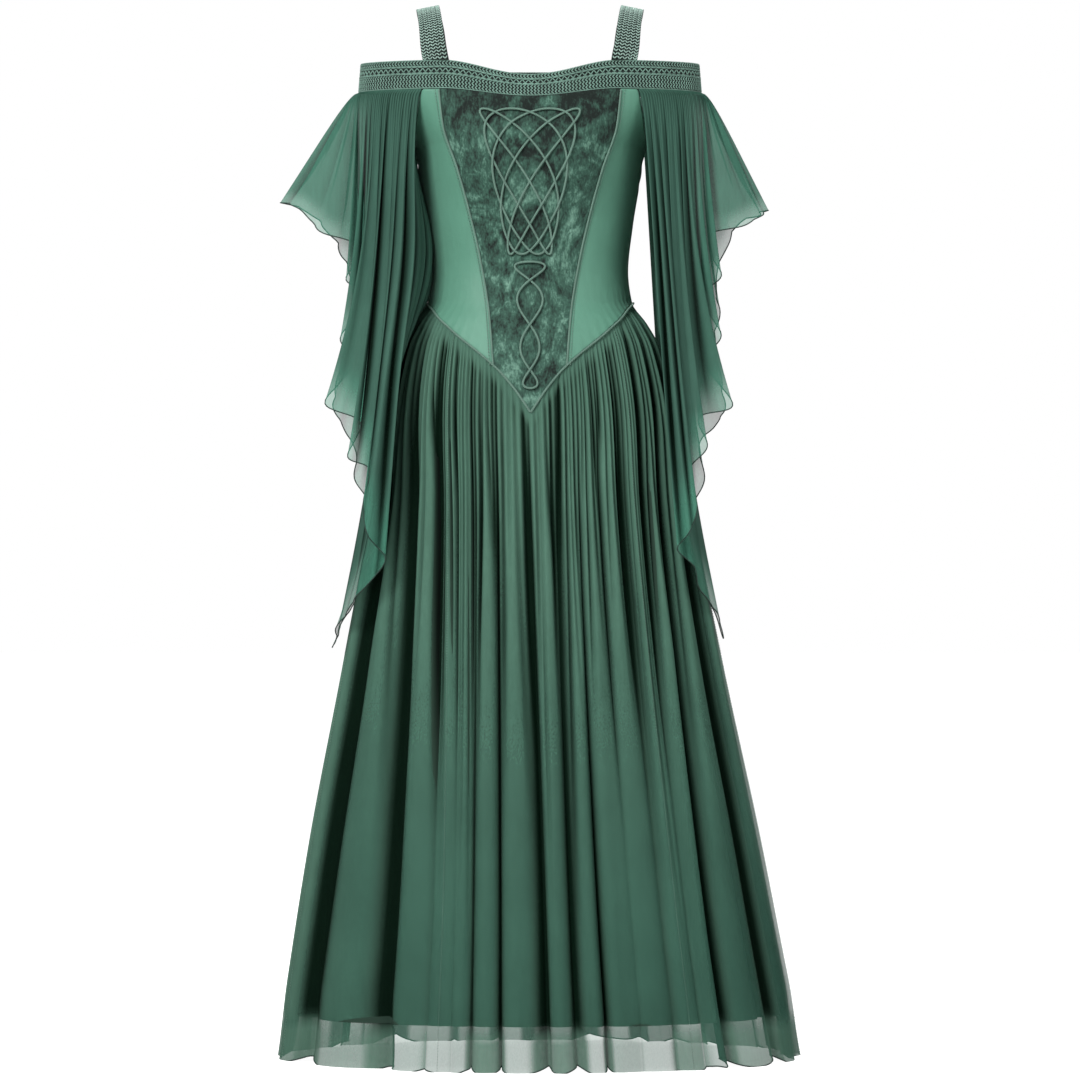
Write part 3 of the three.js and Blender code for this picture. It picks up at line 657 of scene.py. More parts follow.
def panelRelief(slotName, points, angle, above):  # how far the cloth stands out from the figure
    x, z = points[..., 0], points[..., 2]
    if slotName == "velvet":
        swell = velvetUneven(x / bodice["velvetAcross"], z / bodice["velvetDown"])
        return bodice["velvetSwell"] * swell - bodice["velvetSwell"]
    waves = np.cos(2 * math.pi * angle * bodice["puckerSpread"] / bodice["puckerPitch"]) - 1
    relief = bodice["puckerDepth"] * np.exp(-above / bodice["puckerReach"]) * waves
    aside = 90 - np.minimum(fromFront(angle), 180 - fromFront(angle))
    for drag in underarmDrags:
        fall = bell(z + drag["z"] + drag["lean"] * aside, drag["tall"])
        relief = relief - drag["depth"] * (fall * bell(aside, drag["wide"]))
    return relief


def panelPoints(slotName, seamFrom, seamTo, columns):
    share = np.linspace(0, 1, columns)

    def settle(edge, start):
        z = np.full(columns, float(start))
        for _ in range(bodice["settleSteps"]):
            z = mix(z, edge(mix(seamFrom(z), seamTo(z), share)), bodice["settleShare"])
        return z

    top = settle(bodiceTopZ, bodiceCut["bandBottom"]) - 3 * bodiceCut["seamGap"]
    bottom = settle(waistZ, bodice["waistStart"]) + bodiceCut["seamGap"] / 2
    z = mix(top, bottom, np.linspace(0, 1, bodice["rows"])[:, None])
    angle = mix(seamFrom(z), seamTo(z), share)
    points = figurePoint(angle, z)
    return points + outwards(angle, z) * panelRelief(slotName, points, angle, z - bottom)[..., None]


# the interlace: how often the cord sweeps across and goes down and up in one round, and where it lies
plaits = [
    {
        "node": "interlace_upper",
        "sweeps": 5,
        "falls": 4,
        "start": 22.5,
        "top": -140,
        "bottom": -330,
        "wideTop": 66,
        "wideBottom": 27,
    },
    {
        "node": "interlace_lower",
        "sweeps": 4,
        "falls": 1,
        "start": 0,
        "top": -340,
        "bottom": -508,
        "wideTop": 20,
        "wideBottom": 9,
    },
]


def shadeBetweenCords(points):  # how much shade is painted on the velvet between the cords of the interlace
    shadeShare = 0
    for plait in plaits:
        fall = (points[..., 2] - plait["top"]) / (plait["bottom"] - plait["top"])
        wide = mix(plait["wideTop"], plait["wideBottom"], np.clip(fall, 0, 1))
        across = 1 - smoothStep(np.abs(points[..., 0]), 0.85 * wide, wide + 6)
        shadeShare = shadeShare + across * smoothStep(fall, -0.05, 0.02) * (1 - smoothStep(fall, 0.98, 1.05))
    return shadeShare


def minusSeam(z):
    return -velvetSeamAngle(z)


def fixedAngle(angle):
    return lambda z: angle + 0 * z


# The panels: slot, the seams at both sides, columns of points, and the flat cut: width, length and area.
bodiceCloths = {"velvet": velvet, "satin": satin}
panels = [
    ("bodice_front_velvet", "velvet", minusSeam, velvetSeamAngle, 96, (0.25, 0.43, 0.063)),
    ("bodice_side_front_left", "satin", velvetSeamAngle, fixedAngle(90), 56, (0.19, 0.37, 0.034)),
    ("bodice_side_front_right", "satin", fixedAngle(-90), minusSeam, 56, (0.19, 0.37, 0.034)),
    ("bodice_back_left", "satin", fixedAngle(90), fixedAngle(180), 52, (0.23, 0.30, 0.052)),
    ("bodice_back_right", "satin", fixedAngle(-180), fixedAngle(-90), 52, (0.23, 0.30, 0.052)),
]


def makePanel(node, slotName, seamFrom, seamTo, columns, cut):
    points = panelPoints(slotName, seamFrom, seamTo, columns)
    notes = {"hollow": shadeBetweenCords(points)} if slotName == "velvet" else {}
    cloth, wall = bodiceCloths[slotName], bodice["walls"][slotName]
    piece = clothPiece(node + "_cloth", points, cloth, slotName, node, cut[:2], thickness=wall, **notes)


for panel in panels:
    makePanel(*panel)
print("bodice seamed")

# neckband and straps: plaited grains in rows on a dark woven ground
band = {
    "half": 225,
    "front": 98,
    "back": 90,
    "height": 38,
    "wall": 1.6,
    "columns": 420,
    "rows": 14,
    "backDrop": 4,
    "backDropBetween": (154, 168),
    "chevrons": ((4.0, 6.4), (22.6, 5.6), (28.4, 5.8), (33.8, 5.4)),
    "lattice": {"middle": 13.2, "width": 7.6, "pitch": 8.0, "turn": 0.95},
    "cordLay": 4.5,
    "cordStations": 900,
    "cords": ((0.2, 0.9, 0.1), (8.2, 0.8, 0.5), (18.6, 1.0, 0.6), (37.6, 0.9, 0.2)),
}
grain = {"length": 5.6, "width": 1.9, "height": 1.6}
longGrain = {"length": 8.2, "width": 1.7, "height": 1.6}
grainForm = {"sides": 5, "ringAt": 0.27, "girth": 0.86, "lift": 0.55, "pitch": 4.6, "turn": 0.72}


def bandPoint(angle, share):  # share runs from the band's lower edge to its upper edge
    side, ahead = np.sin(np.radians(angle)), np.cos(np.radians(angle))
    low = {name: values[-1] for name, values in figure.items()}
    front, back = (mix(low[name], band[name], share) for name in ("front", "back"))
    depth = np.where(ahead > 0, front, back)
    dip = dipAt(angle) * mix(bodiceCut["dipBottom"], bodiceCut["dipTop"], share)
    z = mix(bodiceCut["bandBottom"], bodiceCut["bandTop"], share) - dip
    z = z - band["backDrop"] * share * smoothStep(fromFront(angle), *band["backDropBetween"])
    return np.stack([mix(low["half"], band["half"], share) * side, -depth * ahead, z], axis=-1)


bandAngles = np.linspace(-180, 180, 1441)
bandRun = runAlong(bandPoint(bandAngles, 0.5))


def bandSurface(run, down):  # millimetres round from the back, and down from the upper edge
    angle = np.interp(run % bandRun[-1], bandRun, bandAngles)
    return bandPoint(angle, 1 - down / band["height"])


strapWay = table(
    "out y z",
    (124, -82, -72.7),
    (128, -75, -52),
    (131, -60, -27),
    (134, -36, -8),
    (136, -6, 0),
    (135, 24, -6),
    (131, 50, -25),
    (128, 68, -50),
    (124, 76, -72.7),
)
strap = {
    "width": 31,
    "footWidth": 37,
    "slope": 0.2,
    "footFront": 0.44,
    "footBack": -0.4,
    "wall": 1.6,
    "clear": 0.4,
    "rows": 90,
    "columns": 15,
    "stations": 400,
    "step": 0.002,
    "chevrons": ((3.2, 5.6), (9.4, 6.0), (15.5, 6.0), (21.6, 6.0), (27.8, 5.6)),
}


def splinePoints(knots, at, closed):  # the curve through the knots, at shares of its way
    place = np.asarray(at) * (len(knots) if closed else len(knots) - 1)
    if closed:
        padded = np.vstack([knots[-1:], knots, knots[:2]])
    else:
        padded = np.vstack([2 * knots[0] - knots[1], knots, 2 * knots[-1] - knots[-2]])
    first = np.clip(np.floor(place).astype(int), 0, len(padded) - 4)
    ring = [padded[first + k] for k in range(4)]
    t = (place - first)[..., None]
    p0, p1, p2, p3 = ring
    d0, d1, d2 = (np.sqrt(np.linalg.norm(b - a, axis=-1, keepdims=True)) for a, b in zip(ring, ring[1:]))
    into = d1 * ((p1 - p0) / d0 - (p2 - p0) / (d0 + d1) + (p2 - p1) / d1)
    away = d1 * ((p2 - p1) / d1 - (p3 - p1) / (d1 + d2) + (p3 - p2) / d2)
    cubic = 2 * p1 - 2 * p2 + into + away
    square = -3 * p1 + 3 * p2 - 2 * into - away
    return p1 + into * t + square * t ** 2 + cubic * t ** 3


def strapKnots(side):
    return np.stack([side * strapWay["out"], strapWay["y"], strapWay["z"]], -1)


def strapFrames(side, share):
    knots = strapKnots(side)
    low, high = np.clip(share - strap["step"], 0, 1), np.clip(share + strap["step"], 0, 1)
    along = unit(splinePoints(knots, high, False) - splinePoints(knots, low, False))
    foot = np.abs(2 * share - 1) ** 3
    turned = side * foot * np.where(share < 0.5, strap["footFront"], strap["footBack"])
    across = np.stack([1 + 0 * share, turned, -side * strap["slope"] * (1 - foot)], -1)
    lean = np.sum(across * along, axis=-1) * (1 - foot)
    across = unit(across - along * lean[..., None])
    out = unit(np.cross(across, along))
    return splinePoints(knots, share, False), across, out, mix(strap["width"], strap["footWidth"], foot)


def surfaceFrame(surface, run, down):  # a place on a surface, and the ways along, across and out of it there
    step = 0.5
    along = unit(surface(run + step, down) - surface(run - step, down))
    across = unit(surface(run, down + step) - surface(run, down - step))
    return surface(run, down), along, across, unit(np.cross(across, along))


def grainsOn(surface, run, down, turn, size):  # plump leaf-shaped stitches laid on a surface at a given turn
    here, along, across, out = surfaceFrame(surface, run, down)
    lengthwise = along * math.cos(turn) + across * math.sin(turn)
    sideways = unit(np.cross(out, lengthwise)) * size["width"] / 2 * grainForm["girth"]
    upwards = out * size["height"] / 2 * grainForm["girth"]
    here = here + out * grainForm["lift"]
    end, ring = lengthwise * size["length"] / 2, lengthwise * size["length"] * grainForm["ringAt"]
    sides = grainForm["sides"]
    around = [2 * math.pi * k / sides for k in range(sides)]
    corners = [here - end]
    for middle in (here - ring, here + ring):
        corners += [middle + sideways * math.cos(a) + upwards * math.sin(a) for a in around]
    verts = np.stack([*corners, here + end], 1).reshape(-1, 3)
    shape = []
    for k in range(sides):
        a, b = 1 + k, 1 + (k + 1) % sides
        c, d = a + sides, b + sides
        shape += [(0, b, a), (a, b, d), (a, d, c), (2 * sides + 1, c, d)]
    faces = (np.array(shape)[None] + (2 * sides + 2) * np.arange(len(run))[:, None, None]).reshape(-1, 3)
    return verts, faces


def grainRows(surface, length, pitch, size, rows, start=0.0):  # rows given as shift, level across and turn
    count = round(length / pitch)
    run = (np.arange(count) + start) * length / count
    return [grainsOn(surface, run + shift, level, turn, size) for shift, level, turn in rows]


def chevrons(surface, length, places, start=0.0):
    parts = []
    for middle, width in places:
        rows = [(0, middle + side * width / 4, side * grainForm["turn"]) for side in (-1, 1)]
        parts += grainRows(surface, length, grainForm["pitch"], grain, rows, start)
    return parts


def lattice(length, middle, width, pitch, turn):  # crossed grains with small dark gaps between them
    rows = [(0, middle, turn), (pitch / 2, middle, -turn)]
    rows += [(pitch / 4, middle + side * width / 2, 0) for side in (-1, 1)]
    return grainRows(bandSurface, length, pitch, longGrain, rows)


def bandCord(down, radius, lift):
    run = np.linspace(0, bandRun[-1], band["cordStations"], endpoint=False)
    here, _, _, out = surfaceFrame(bandSurface, run, down)
    return twistedCord(here + out * lift, out, radius, band["cordLay"], True, sides=4, steps=6)


def makeNeckband():
    angles = np.linspace(-180, 180, band["columns"], endpoint=False)
    points = bandPoint(angles[None], np.linspace(1, 0, band["rows"])[:, None])
    cut = (1.1, 0.038)
    ground = clothPiece(
        "neckband_ground", points, braidGround, "braid", "neckband", cut, closed=True, thickness=band["wall"]
    )
    parts = chevrons(bandSurface, bandRun[-1], band["chevrons"]) + lattice(bandRun[-1], **band["lattice"])
    parts += [bandCord(*place) for place in band["cords"]]
    linkMesh("neckband_plait", *joined(parts), braidThread, "braid", "neckband")


def makeStrap(name, side):
    dense = np.linspace(0, 1, strap["stations"])
    run = runAlong(splinePoints(strapKnots(side), dense, False))
    length = run[-1]

    def surface(along, aside):  # millimetres along from the front, and from one edge to the other
        centre, across, out, width = strapFrames(side, np.interp(along, run, dense))
        shift = width * (aside / strap["width"] - 0.5)
        return centre + across * shift[..., None] + out * (strap["wall"] + strap["clear"])

    share = np.linspace(0, 1, strap["rows"])[:, None]
    share, aside = np.broadcast_arrays(share, np.linspace(strap["width"], 0, strap["columns"])[None])
    points = surface(share * length, aside)
    cut = (strap["width"] * millimetre, 0.24)
    ground = clothPiece(name + "_ground", points, braidGround, "braid", name, cut, thickness=strap["wall"])
    parts = chevrons(surface, length, strap["chevrons"], start=0.5)
    linkMesh(name + "_plait", *joined(parts), strapThread, "braid", name)


makeNeckband()
makeStrap("strap_right", -1)
makeStrap("strap_left", 1)
print("neckband and straps plaited")

# skirt: folds between valleys, which are listed one by one in front
# Each valley's angle at the waist and at the hem, its depth left low down, and how double the next fold lies.
frontValleys = table(
    "top hem low dense",
    (-92, -88, 0.8, 0.8),
    (-74, -66, 0.9, 0.5),
    (-55, -36, 1.0, 0.1),
    (-40, -25, 0.3, 0),
    (-32, -19.5, 0.25, 0.1),
    (-23.5, -15.2, 1.0, 0.95),
    (-14, -8.6, 0.9, 0),
    (-1, 2.4, 0.85, 0.9),
    (10, 8, 1.0, 0),
    (19, 15, 1.0, 0.3),
    (27, 23, 0.2, 0),
    (37, 31.5, 0.45, 0.8),
    (48, 38, 0.3, 0),
    (62, 45, 1.0, 0.6),
    (74, 66, 0.7, 0.7),
    (90, 86, 0.8, 0.3),
)
skirt = {
    "hem": -1391,
    "waistGap": 1.2,
    "backFrom": 102,
    "backFolds": 15,
    "settleBy": 0.87,
    "depthTop": 7,
    "uneven": 0.12,
    "flatAtSeam": 0.35,
    "seamReach": 0.03,
    "depthLeast": 4,
    "depthMost": 30,
    "depthPerWidth": 0.42,
    "fullFrom": 0.24,
    "fullness": 0.64,
    "lowBetween": (0.15, 0.85),
    "thinBetween": (0.3, 0.75),
    "stepsPerFold": 28,
    "rows": 116,
    "creases": 4,
    "creaseUneven": 0.05,
    "leanUneven": 0.75,
    "creaseWidth": 0.058,
    "creaseSpread": 0.6,
    "creaseDrift": 0.55,
    "creaseGrown": 0.12,
    "creaseEnd": (0.45, 1),
    "creaseDepthTop": 5.0,
    "creaseDepth": (4.0, 9.0),
    "creaseLength": (0.16, 0.95),
    "gatherRise": 1.2,
    "gatherBy": 9,
    "hemFrom": 0.9,
    "hemFlare": 5.0,
    "hemSettled": 0.8,
    "hemWave": 3.5,
    "hemByDepth": 11,
    "rowsBunched": 1.15,
}
# how gathered the skirt looks and how much shade is painted on it, by how deep a place lies, at the waist and
# below
shade = {
    "belowFrom": 0.35,
    "deepTop": 5.6,
    "deepLow": 15.0,
    "hollowFrom": (0.5, 0.12),
    "hollowTo": (1.3, 0.9),
    "gatheredTo": (0.9, 0.55),
    "liningEnds": (0.935, 0.96),
    "atSides": (0.72, 0.95),
    "denseSides": 0.6,
    "denseTop": 0.75,
    "denseDown": (0.2, 0.95),
    "denseEdge": 0.9,
    "edgeAngle": -88,
    "edgeWidth": 30,
}
# the folds at the back, spread evenly and then made uneven by slow waves
backTurns = np.arange(skirt["backFolds"])
backEven = mix(skirt["backFrom"], 360 - skirt["backFrom"], backTurns / (skirt["backFolds"] - 1))
valleyTop = np.concatenate([frontValleys["top"], backEven + 1.5 * np.sin(2.3 * backTurns)])
valleyHem = np.concatenate([frontValleys["hem"], backEven + 3 * np.sin(1.9 * backTurns + 1)])
valleyLow = np.concatenate([frontValleys["low"], 0.65 + 0.35 * np.sin(2.7 * backTurns)])
foldDense = np.concatenate([frontValleys["dense"], np.clip(0.4 + 0.6 * np.sin(3.1 * backTurns + 0.5), 0, 1)])
foldCount = len(valleyTop)
valleyLow = np.append(valleyLow, valleyLow[0])
valleyTop = np.append(valleyTop, valleyTop[0] + 360)
valleyHem = np.append(valleyHem, valleyHem[0] + 360)

draw = np.random.default_rng(11)
creaseShape = (foldCount, skirt["creases"])
creaseEven = (np.arange(skirt["creases"]) + 1) / (skirt["creases"] + 1)
crease = {
    "share": creaseEven + draw.uniform(-skirt["creaseUneven"], skirt["creaseUneven"], creaseShape),
    "depth": draw.uniform(*skirt["creaseDepth"], creaseShape),
    "length": draw.uniform(*skirt["creaseLength"], creaseShape),
}
foldLean = 2 ** draw.uniform(-skirt["leanUneven"], skirt["leanUneven"], foldCount)
foldUneven = unevenness(3, 10, 14, 1.6)
hemUneven = unevenness(8, 9, 20, 0.4)


def foldedIn(i, share, u, v, width):  # how far the cloth falls in from the skirt's reach, by fold and share
    deepest = np.minimum(skirt["depthMost"], skirt["depthLeast"] + skirt["depthPerWidth"] * width)
    depth = mix(skirt["depthTop"], deepest, np.minimum(1, v / skirt["fullFrom"]))
    low = mix(valleyLow[i], valleyLow[i + 1], smoothStep(share, *skirt["lowBetween"]))
    depth = depth * mix(1, low, smoothStep(v, *skirt["thinBetween"]))
    depth = depth * (1 + skirt["uneven"] * foldUneven(u / foldCount, v))
    arch = (np.sin(math.pi * share ** foldLean[i]) ** 2 + 0.0004) ** (skirt["fullness"] / 2)
    taken = depth * (1 - np.minimum(1, arch))
    for k in range(skirt["creases"]):
        middle, deep, length = (crease[name][i, k] for name in ("share", "depth", "length"))
        gone = np.clip(v / length, 0, 1)
        middle = middle + (np.round(middle) - middle) * skirt["creaseDrift"] * gone ** 2
        grown = mix(skirt["creaseDepthTop"], deep, np.minimum(1, v / skirt["creaseGrown"]))
        grown = grown * (1 - smoothStep(gone, *skirt["creaseEnd"]))
        wide = skirt["creaseWidth"] * (1 + skirt["creaseSpread"] * gone)
        taken = taken + grown * bell(share - middle, wide)
    return taken * mix(skirt["flatAtSeam"], 1, smoothStep(v, 0, skirt["seamReach"]))


def skirtShade(i, share, angle, v, taken):  # how gathered each point is, and how much shade is painted on it
    below = np.minimum(1, v / shade["belowFrom"])
    deep = taken / mix(shade["deepTop"], shade["deepLow"], below)
    pastLining = smoothStep(v, *shade["liningEnds"])
    # Painted shade in the folds' hollows, less of it past the lining's end; it also counts as gathered below.
    hollow = smoothStep(deep, mix(*shade["hollowFrom"], below), mix(*shade["hollowTo"], below))
    hollow = hollow * (1 - 0.8 * pastLining)
    aside = smoothStep(np.abs(np.sin(np.radians(angle))), *shade["atSides"])
    doubled = foldDense[i] * smoothStep(share, 0.02, 0.1) * (1 - smoothStep(share, 0.9, 0.98))
    doubled = np.maximum(shade["denseSides"] * aside, doubled)
    edge = bell((angle - shade["edgeAngle"] + 180) % 360 - 180, shade["edgeWidth"])
    gathered = smoothStep(deep, 0.1, mix(*shade["gatheredTo"], pastLining))
    for other in (
        pastLining * doubled,
        hollow,
        shade["denseTop"] * (1 - smoothStep(v, *shade["denseDown"])),
        shade["denseEdge"] * edge * (1 - pastLining),
    ):
        gathered = np.maximum(gathered, other)
    return gathered, hollow


def skirtPoint(u, v, inset, rise, flare):  # u counts the folds round, v is the share of the way down
    fold = np.floor(u).astype(int)
    share = u - fold
    i = fold % foldCount
    turns = 360 * (fold // foldCount)
    settled = np.sin(math.pi / 2 * np.minimum(1, v / skirt["settleBy"]))
    start = mix(valleyTop[i], valleyHem[i], settled) + turns
    end = mix(valleyTop[i + 1], valleyHem[i + 1], settled) + turns
    angle = mix(start, end, share)
    reach = mix(waistZ(start), skirt["hem"], v)
    width = np.radians(end - start) * (halfWidthAt(reach) + frontDepthAt(reach)) / 2
    taken = foldedIn(i, share, u, v, width)
    z = mix(waistZ(angle) - skirt["waistGap"], skirt["hem"] + rise, v)
    loose = smoothStep(v, skirt["hemFrom"], 1.0) * flare
    ripple = hemUneven(u / foldCount, v)
    z = z + loose * (skirt["hemWave"] * ripple + skirt["hemByDepth"] * (np.minimum(1, taken / 20) - 0.6))
    out = loose * skirt["hemFlare"] * ripple - loose * skirt["hemFlare"] * skirt["hemSettled"]
    out = out - taken - inset - skirt["gatherRise"] * (1 - np.exp(-skirt["gatherBy"] * v))
    return figurePoint(angle, z) + outwards(angle, z) * out[..., None], *skirtShade(i, share, angle, v, taken)


liningCut = {
    "top": 2.4,
    "hem": 2.8,
    "reachedBy": 0.25,
    "rise": 55,
    "rows": 92,
    "narrower": 14,
    "narrowAt": 92,
    "narrowWidth": 30,
    "narrowBetween": (0.25, 0.6),
}


def liningInset(u, v):  # cut narrower down the wearer's left side, where a sheer strip shows beyond it
    angle = np.interp(u % foldCount, np.arange(foldCount + 1), valleyTop)
    aside = bell(angle - liningCut["narrowAt"], liningCut["narrowWidth"])
    aside = aside * smoothStep(v, *liningCut["narrowBetween"])
    inset = mix(liningCut["top"], liningCut["hem"], np.minimum(1, v / liningCut["reachedBy"]))
    return inset + liningCut["narrower"] * aside


def skirtGrid(first, last, rows, steps, lined=False):
    u = np.linspace(first + 0.5, last + 0.5, (last - first) * steps + 1)[None]
    u, v = np.broadcast_arrays(u, (np.linspace(0, 1, rows) ** skirt["rowsBunched"])[:, None])
    if lined:
        return skirtPoint(u, v, liningInset(u, v), liningCut["rise"], 0)
    return skirtPoint(u, v, 0, 0, 1)


# Gores and lining panels: the first and last fold, and the flat cut: width at the hem, length and area.
gores = [
    ("skirt_front_centre", 3, 11, (0.55, 0.98, 0.37)),
    ("skirt_front_left", 11, 15, (0.45, 1.0, 0.31)),
    ("skirt_back_left", 15, 20, (0.48, 1.0, 0.33)),
    ("skirt_back_centre", 20, 26, (0.6, 1.0, 0.42)),
    ("skirt_back_right", 26, 31, (0.5, 1.0, 0.35)),
    ("skirt_front_right", 31, foldCount + 3, (0.4, 1.0, 0.27)),
]
liningPanels = [
    ("lining_front", 1, 13, (0.85, 0.95, 0.58)),
    ("lining_left", 13, 18, (0.47, 0.96, 0.33)),
    ("lining_back", 18, 28, (0.88, 0.96, 0.61)),
    ("lining_right", 28, foldCount + 1, (0.44, 0.96, 0.3)),
]


def makeSkirtPanel(node, first, last, cut, cloth, slotName, rows, lined):
    points, gathered, hollow = skirtGrid(first, last, rows, skirt["stepsPerFold"], lined)
    notes = {"gathered": gathered, "hollow": hollow}
    piece = clothPiece(node + "_cloth", points, cloth, slotName, node, cut[:2], **notes)


for gore in gores:
    makeSkirtPanel(*gore, chiffon, "chiffon", skirt["rows"], False)
for panel in liningPanels:
    makeSkirtPanel(*panel, lining, "lining", liningCut["rows"], True)


def rolledHem(name, points, radius, node):  # a thin tube along the last row of a closed cloth
    edge = points[-1]
    outs = unit(np.cross(edge - points[-2], np.roll(edge, -1, axis=0) - np.roll(edge, 1, axis=0)))
    linkMesh(name, *tubeParts(edge, outs, radius, 6, True), hemThread, "chiffon", node)


hemRadius = {"skirt": 0.9, "sleeve": 0.8}
hemRows = skirtGrid(0, foldCount, 3, skirt["stepsPerFold"])[0][:, :-1]
rolledHem("skirt_hem", hemRows, hemRadius["skirt"], "skirt_front_centre")
seamStitch = {"lift": 0.5, "length": 2.6, "gap": 1.0, "radius": 0.5, "stations": 160}


def makeSkirtSeams():  # a line of small stitches down each seam between the gores
    parts = []
    for _, first, *_ in gores:
        rows = skirtGrid(first, first + 1, seamStitch["stations"], 2)[0]
        seam = rows[:, 0]
        out = unit(np.cross(alongLine(seam, False), rows[:, 2] - seam))
        line = seam + seamStitch["lift"] * out
        parts.append(stitchRow(line, out, seamStitch["length"], seamStitch["gap"], seamStitch["radius"]))
    linkMesh("skirt_seam_stitches", *joined(parts), cordThread, "chiffon", "skirt_front_centre")


makeSkirtSeams()
print("skirt gathered")

# sleeves: an open ring of cloth from the armhole and the band to a hem with many points
# Each point of a hem: out from the middle, ahead, up, and how late the cloth above it swings out.
sleeveHems = {
    "right": {
        "underarm": [
            (264, -12, -850, 2.6), (258, 38, -824, 2.4), (241, 84, -800, 2.2), (229, 112, -781, 2),
            (212, 134, -764, 1.8),
        ],
        "front": [
            (189, 152, -731, 1.2), (212, 170, -700, 1.3), (218, 160, -659, 1.4), (242, 147, -627, 1.6),
            (239, 132, -598, 1.6), (254, 118, -566, 1.8), (270, 102, -527, 2), (264, 85, -484, 1.9),
            (251, 68, -440, 1.7), (243, 54, -398, 1.5), (244, 43, -362, 1.3), (258, 33, -332, 1.2),
            (280, 22, -296, 1.1), (307, 13, -266, 1), (333, 0, -257, 1),
        ],
    },
    "left": {
        "underarm": [
            (258, -12, -838, 2.6), (250, 40, -806, 2.4), (234, 84, -784, 2.2), (222, 112, -768, 2),
            (216, 132, -742, 1.8),
        ],
        "front": [
            (193, 152, -718, 1.2), (208, 167, -697, 1.3), (219, 160, -664, 1.4), (240, 144, -629, 1.6),
            (233, 131, -584, 1.6), (253, 117, -560, 1.8), (267, 102, -530, 2), (262, 86, -484, 1.9),
            (253, 70, -436, 1.7), (259, 56, -398, 1.5), (254, 44, -356, 1.3), (270, 33, -318, 1.2),
            (286, 22, -288, 1.1), (310, 12, -274, 1), (318, 0, -267, 1),
        ],
    },
}
sleeve = {
    "armholeShare": 0.15,
    "behindInset": 4,
    "behindDepth": 0.92,
    "behindWave": 8,
    "middle": 215,
    "swell": 7,
    "dent": 12.0,
    "dentBy": 0.4,
    "dentAtHem": 0.6,
    "dentUneven": (0.3, 1.5),
    "waver": 0.22,
    "topLift": 1.8,
    "clearInner": 5,
    "clearOuter": 12,
    "clearBy": 0.125,
    "stepsPerRow": 10,
    "rows": 92,
    "gather": 3.2,
    "gathersPerRow": 3,
    "ruffleIn": 31,
    "ruffleUp": 14,
    "tuck": {"right": 48, "left": 0},
    "tuckMiddle": -335,
    "tuckTall": 115,
    "tuckWide": 4,
    "thinColumn": 0.55,
    "topGathered": 0.9,
    "paleHollow": 0.15,
}


def behind(rows):  # the hem at the back follows the one in front, a little nearer and more even
    moved = rows * np.array([1, -sleeve["behindDepth"], 1, 1])
    moved[:, 0] -= sleeve["behindInset"]
    moved[:, 2] += sleeve["behindWave"] * np.sin(0.9 * np.arange(len(rows)))
    return moved


def hemRing(under, front):
    ruffled = front.copy()  # every other point in front is tucked in, so the layer behind shows past it
    tucked = np.arange(3, len(front) - 2, 2)
    ruffled[tucked, 0] -= sleeve["ruffleIn"]
    ruffled[tucked, 2] += sleeve["ruffleUp"]
    return np.vstack([under, ruffled, behind(front[:-1][::-1]), behind(under[1:][::-1])])


def sleeveTop(share):
    back = share > 0.5
    near = np.where(back, 1 - share, share)
    onArmhole = near < sleeve["armholeShare"]
    edge = bodiceCut["armholeAngle"]
    onBand = mix(edge, 90, (near - sleeve["armholeShare"]) / (0.5 - sleeve["armholeShare"]))
    turned = np.where(onArmhole, mix(90, edge, near / sleeve["armholeShare"]), onBand)
    angle = np.where(back, 180 - turned, turned)
    z = np.where(onArmhole, armholeZ(turned), bodiceCut["bandBottom"])
    return figurePoint(angle, z - bodiceCut["seamGap"]) + outwards(angle, z) * sleeve["topLift"]


def clearOfSkirt(points, clearance):
    x, y, z = points[..., 0], points[..., 1], points[..., 2]
    depth = np.where(y < 0, frontDepthAt(z), backDepthAt(z)) + clearance
    reach = np.hypot(x / (halfWidthAt(z) + leanAt(z) + clearance), y / depth)
    inside = (reach < 1) & (z < bodiceCut["underarm"])
    scale = np.where(inside, 1 / np.maximum(reach, 1e-3), 1)
    return points * np.stack([scale, scale, np.ones_like(scale)], -1)


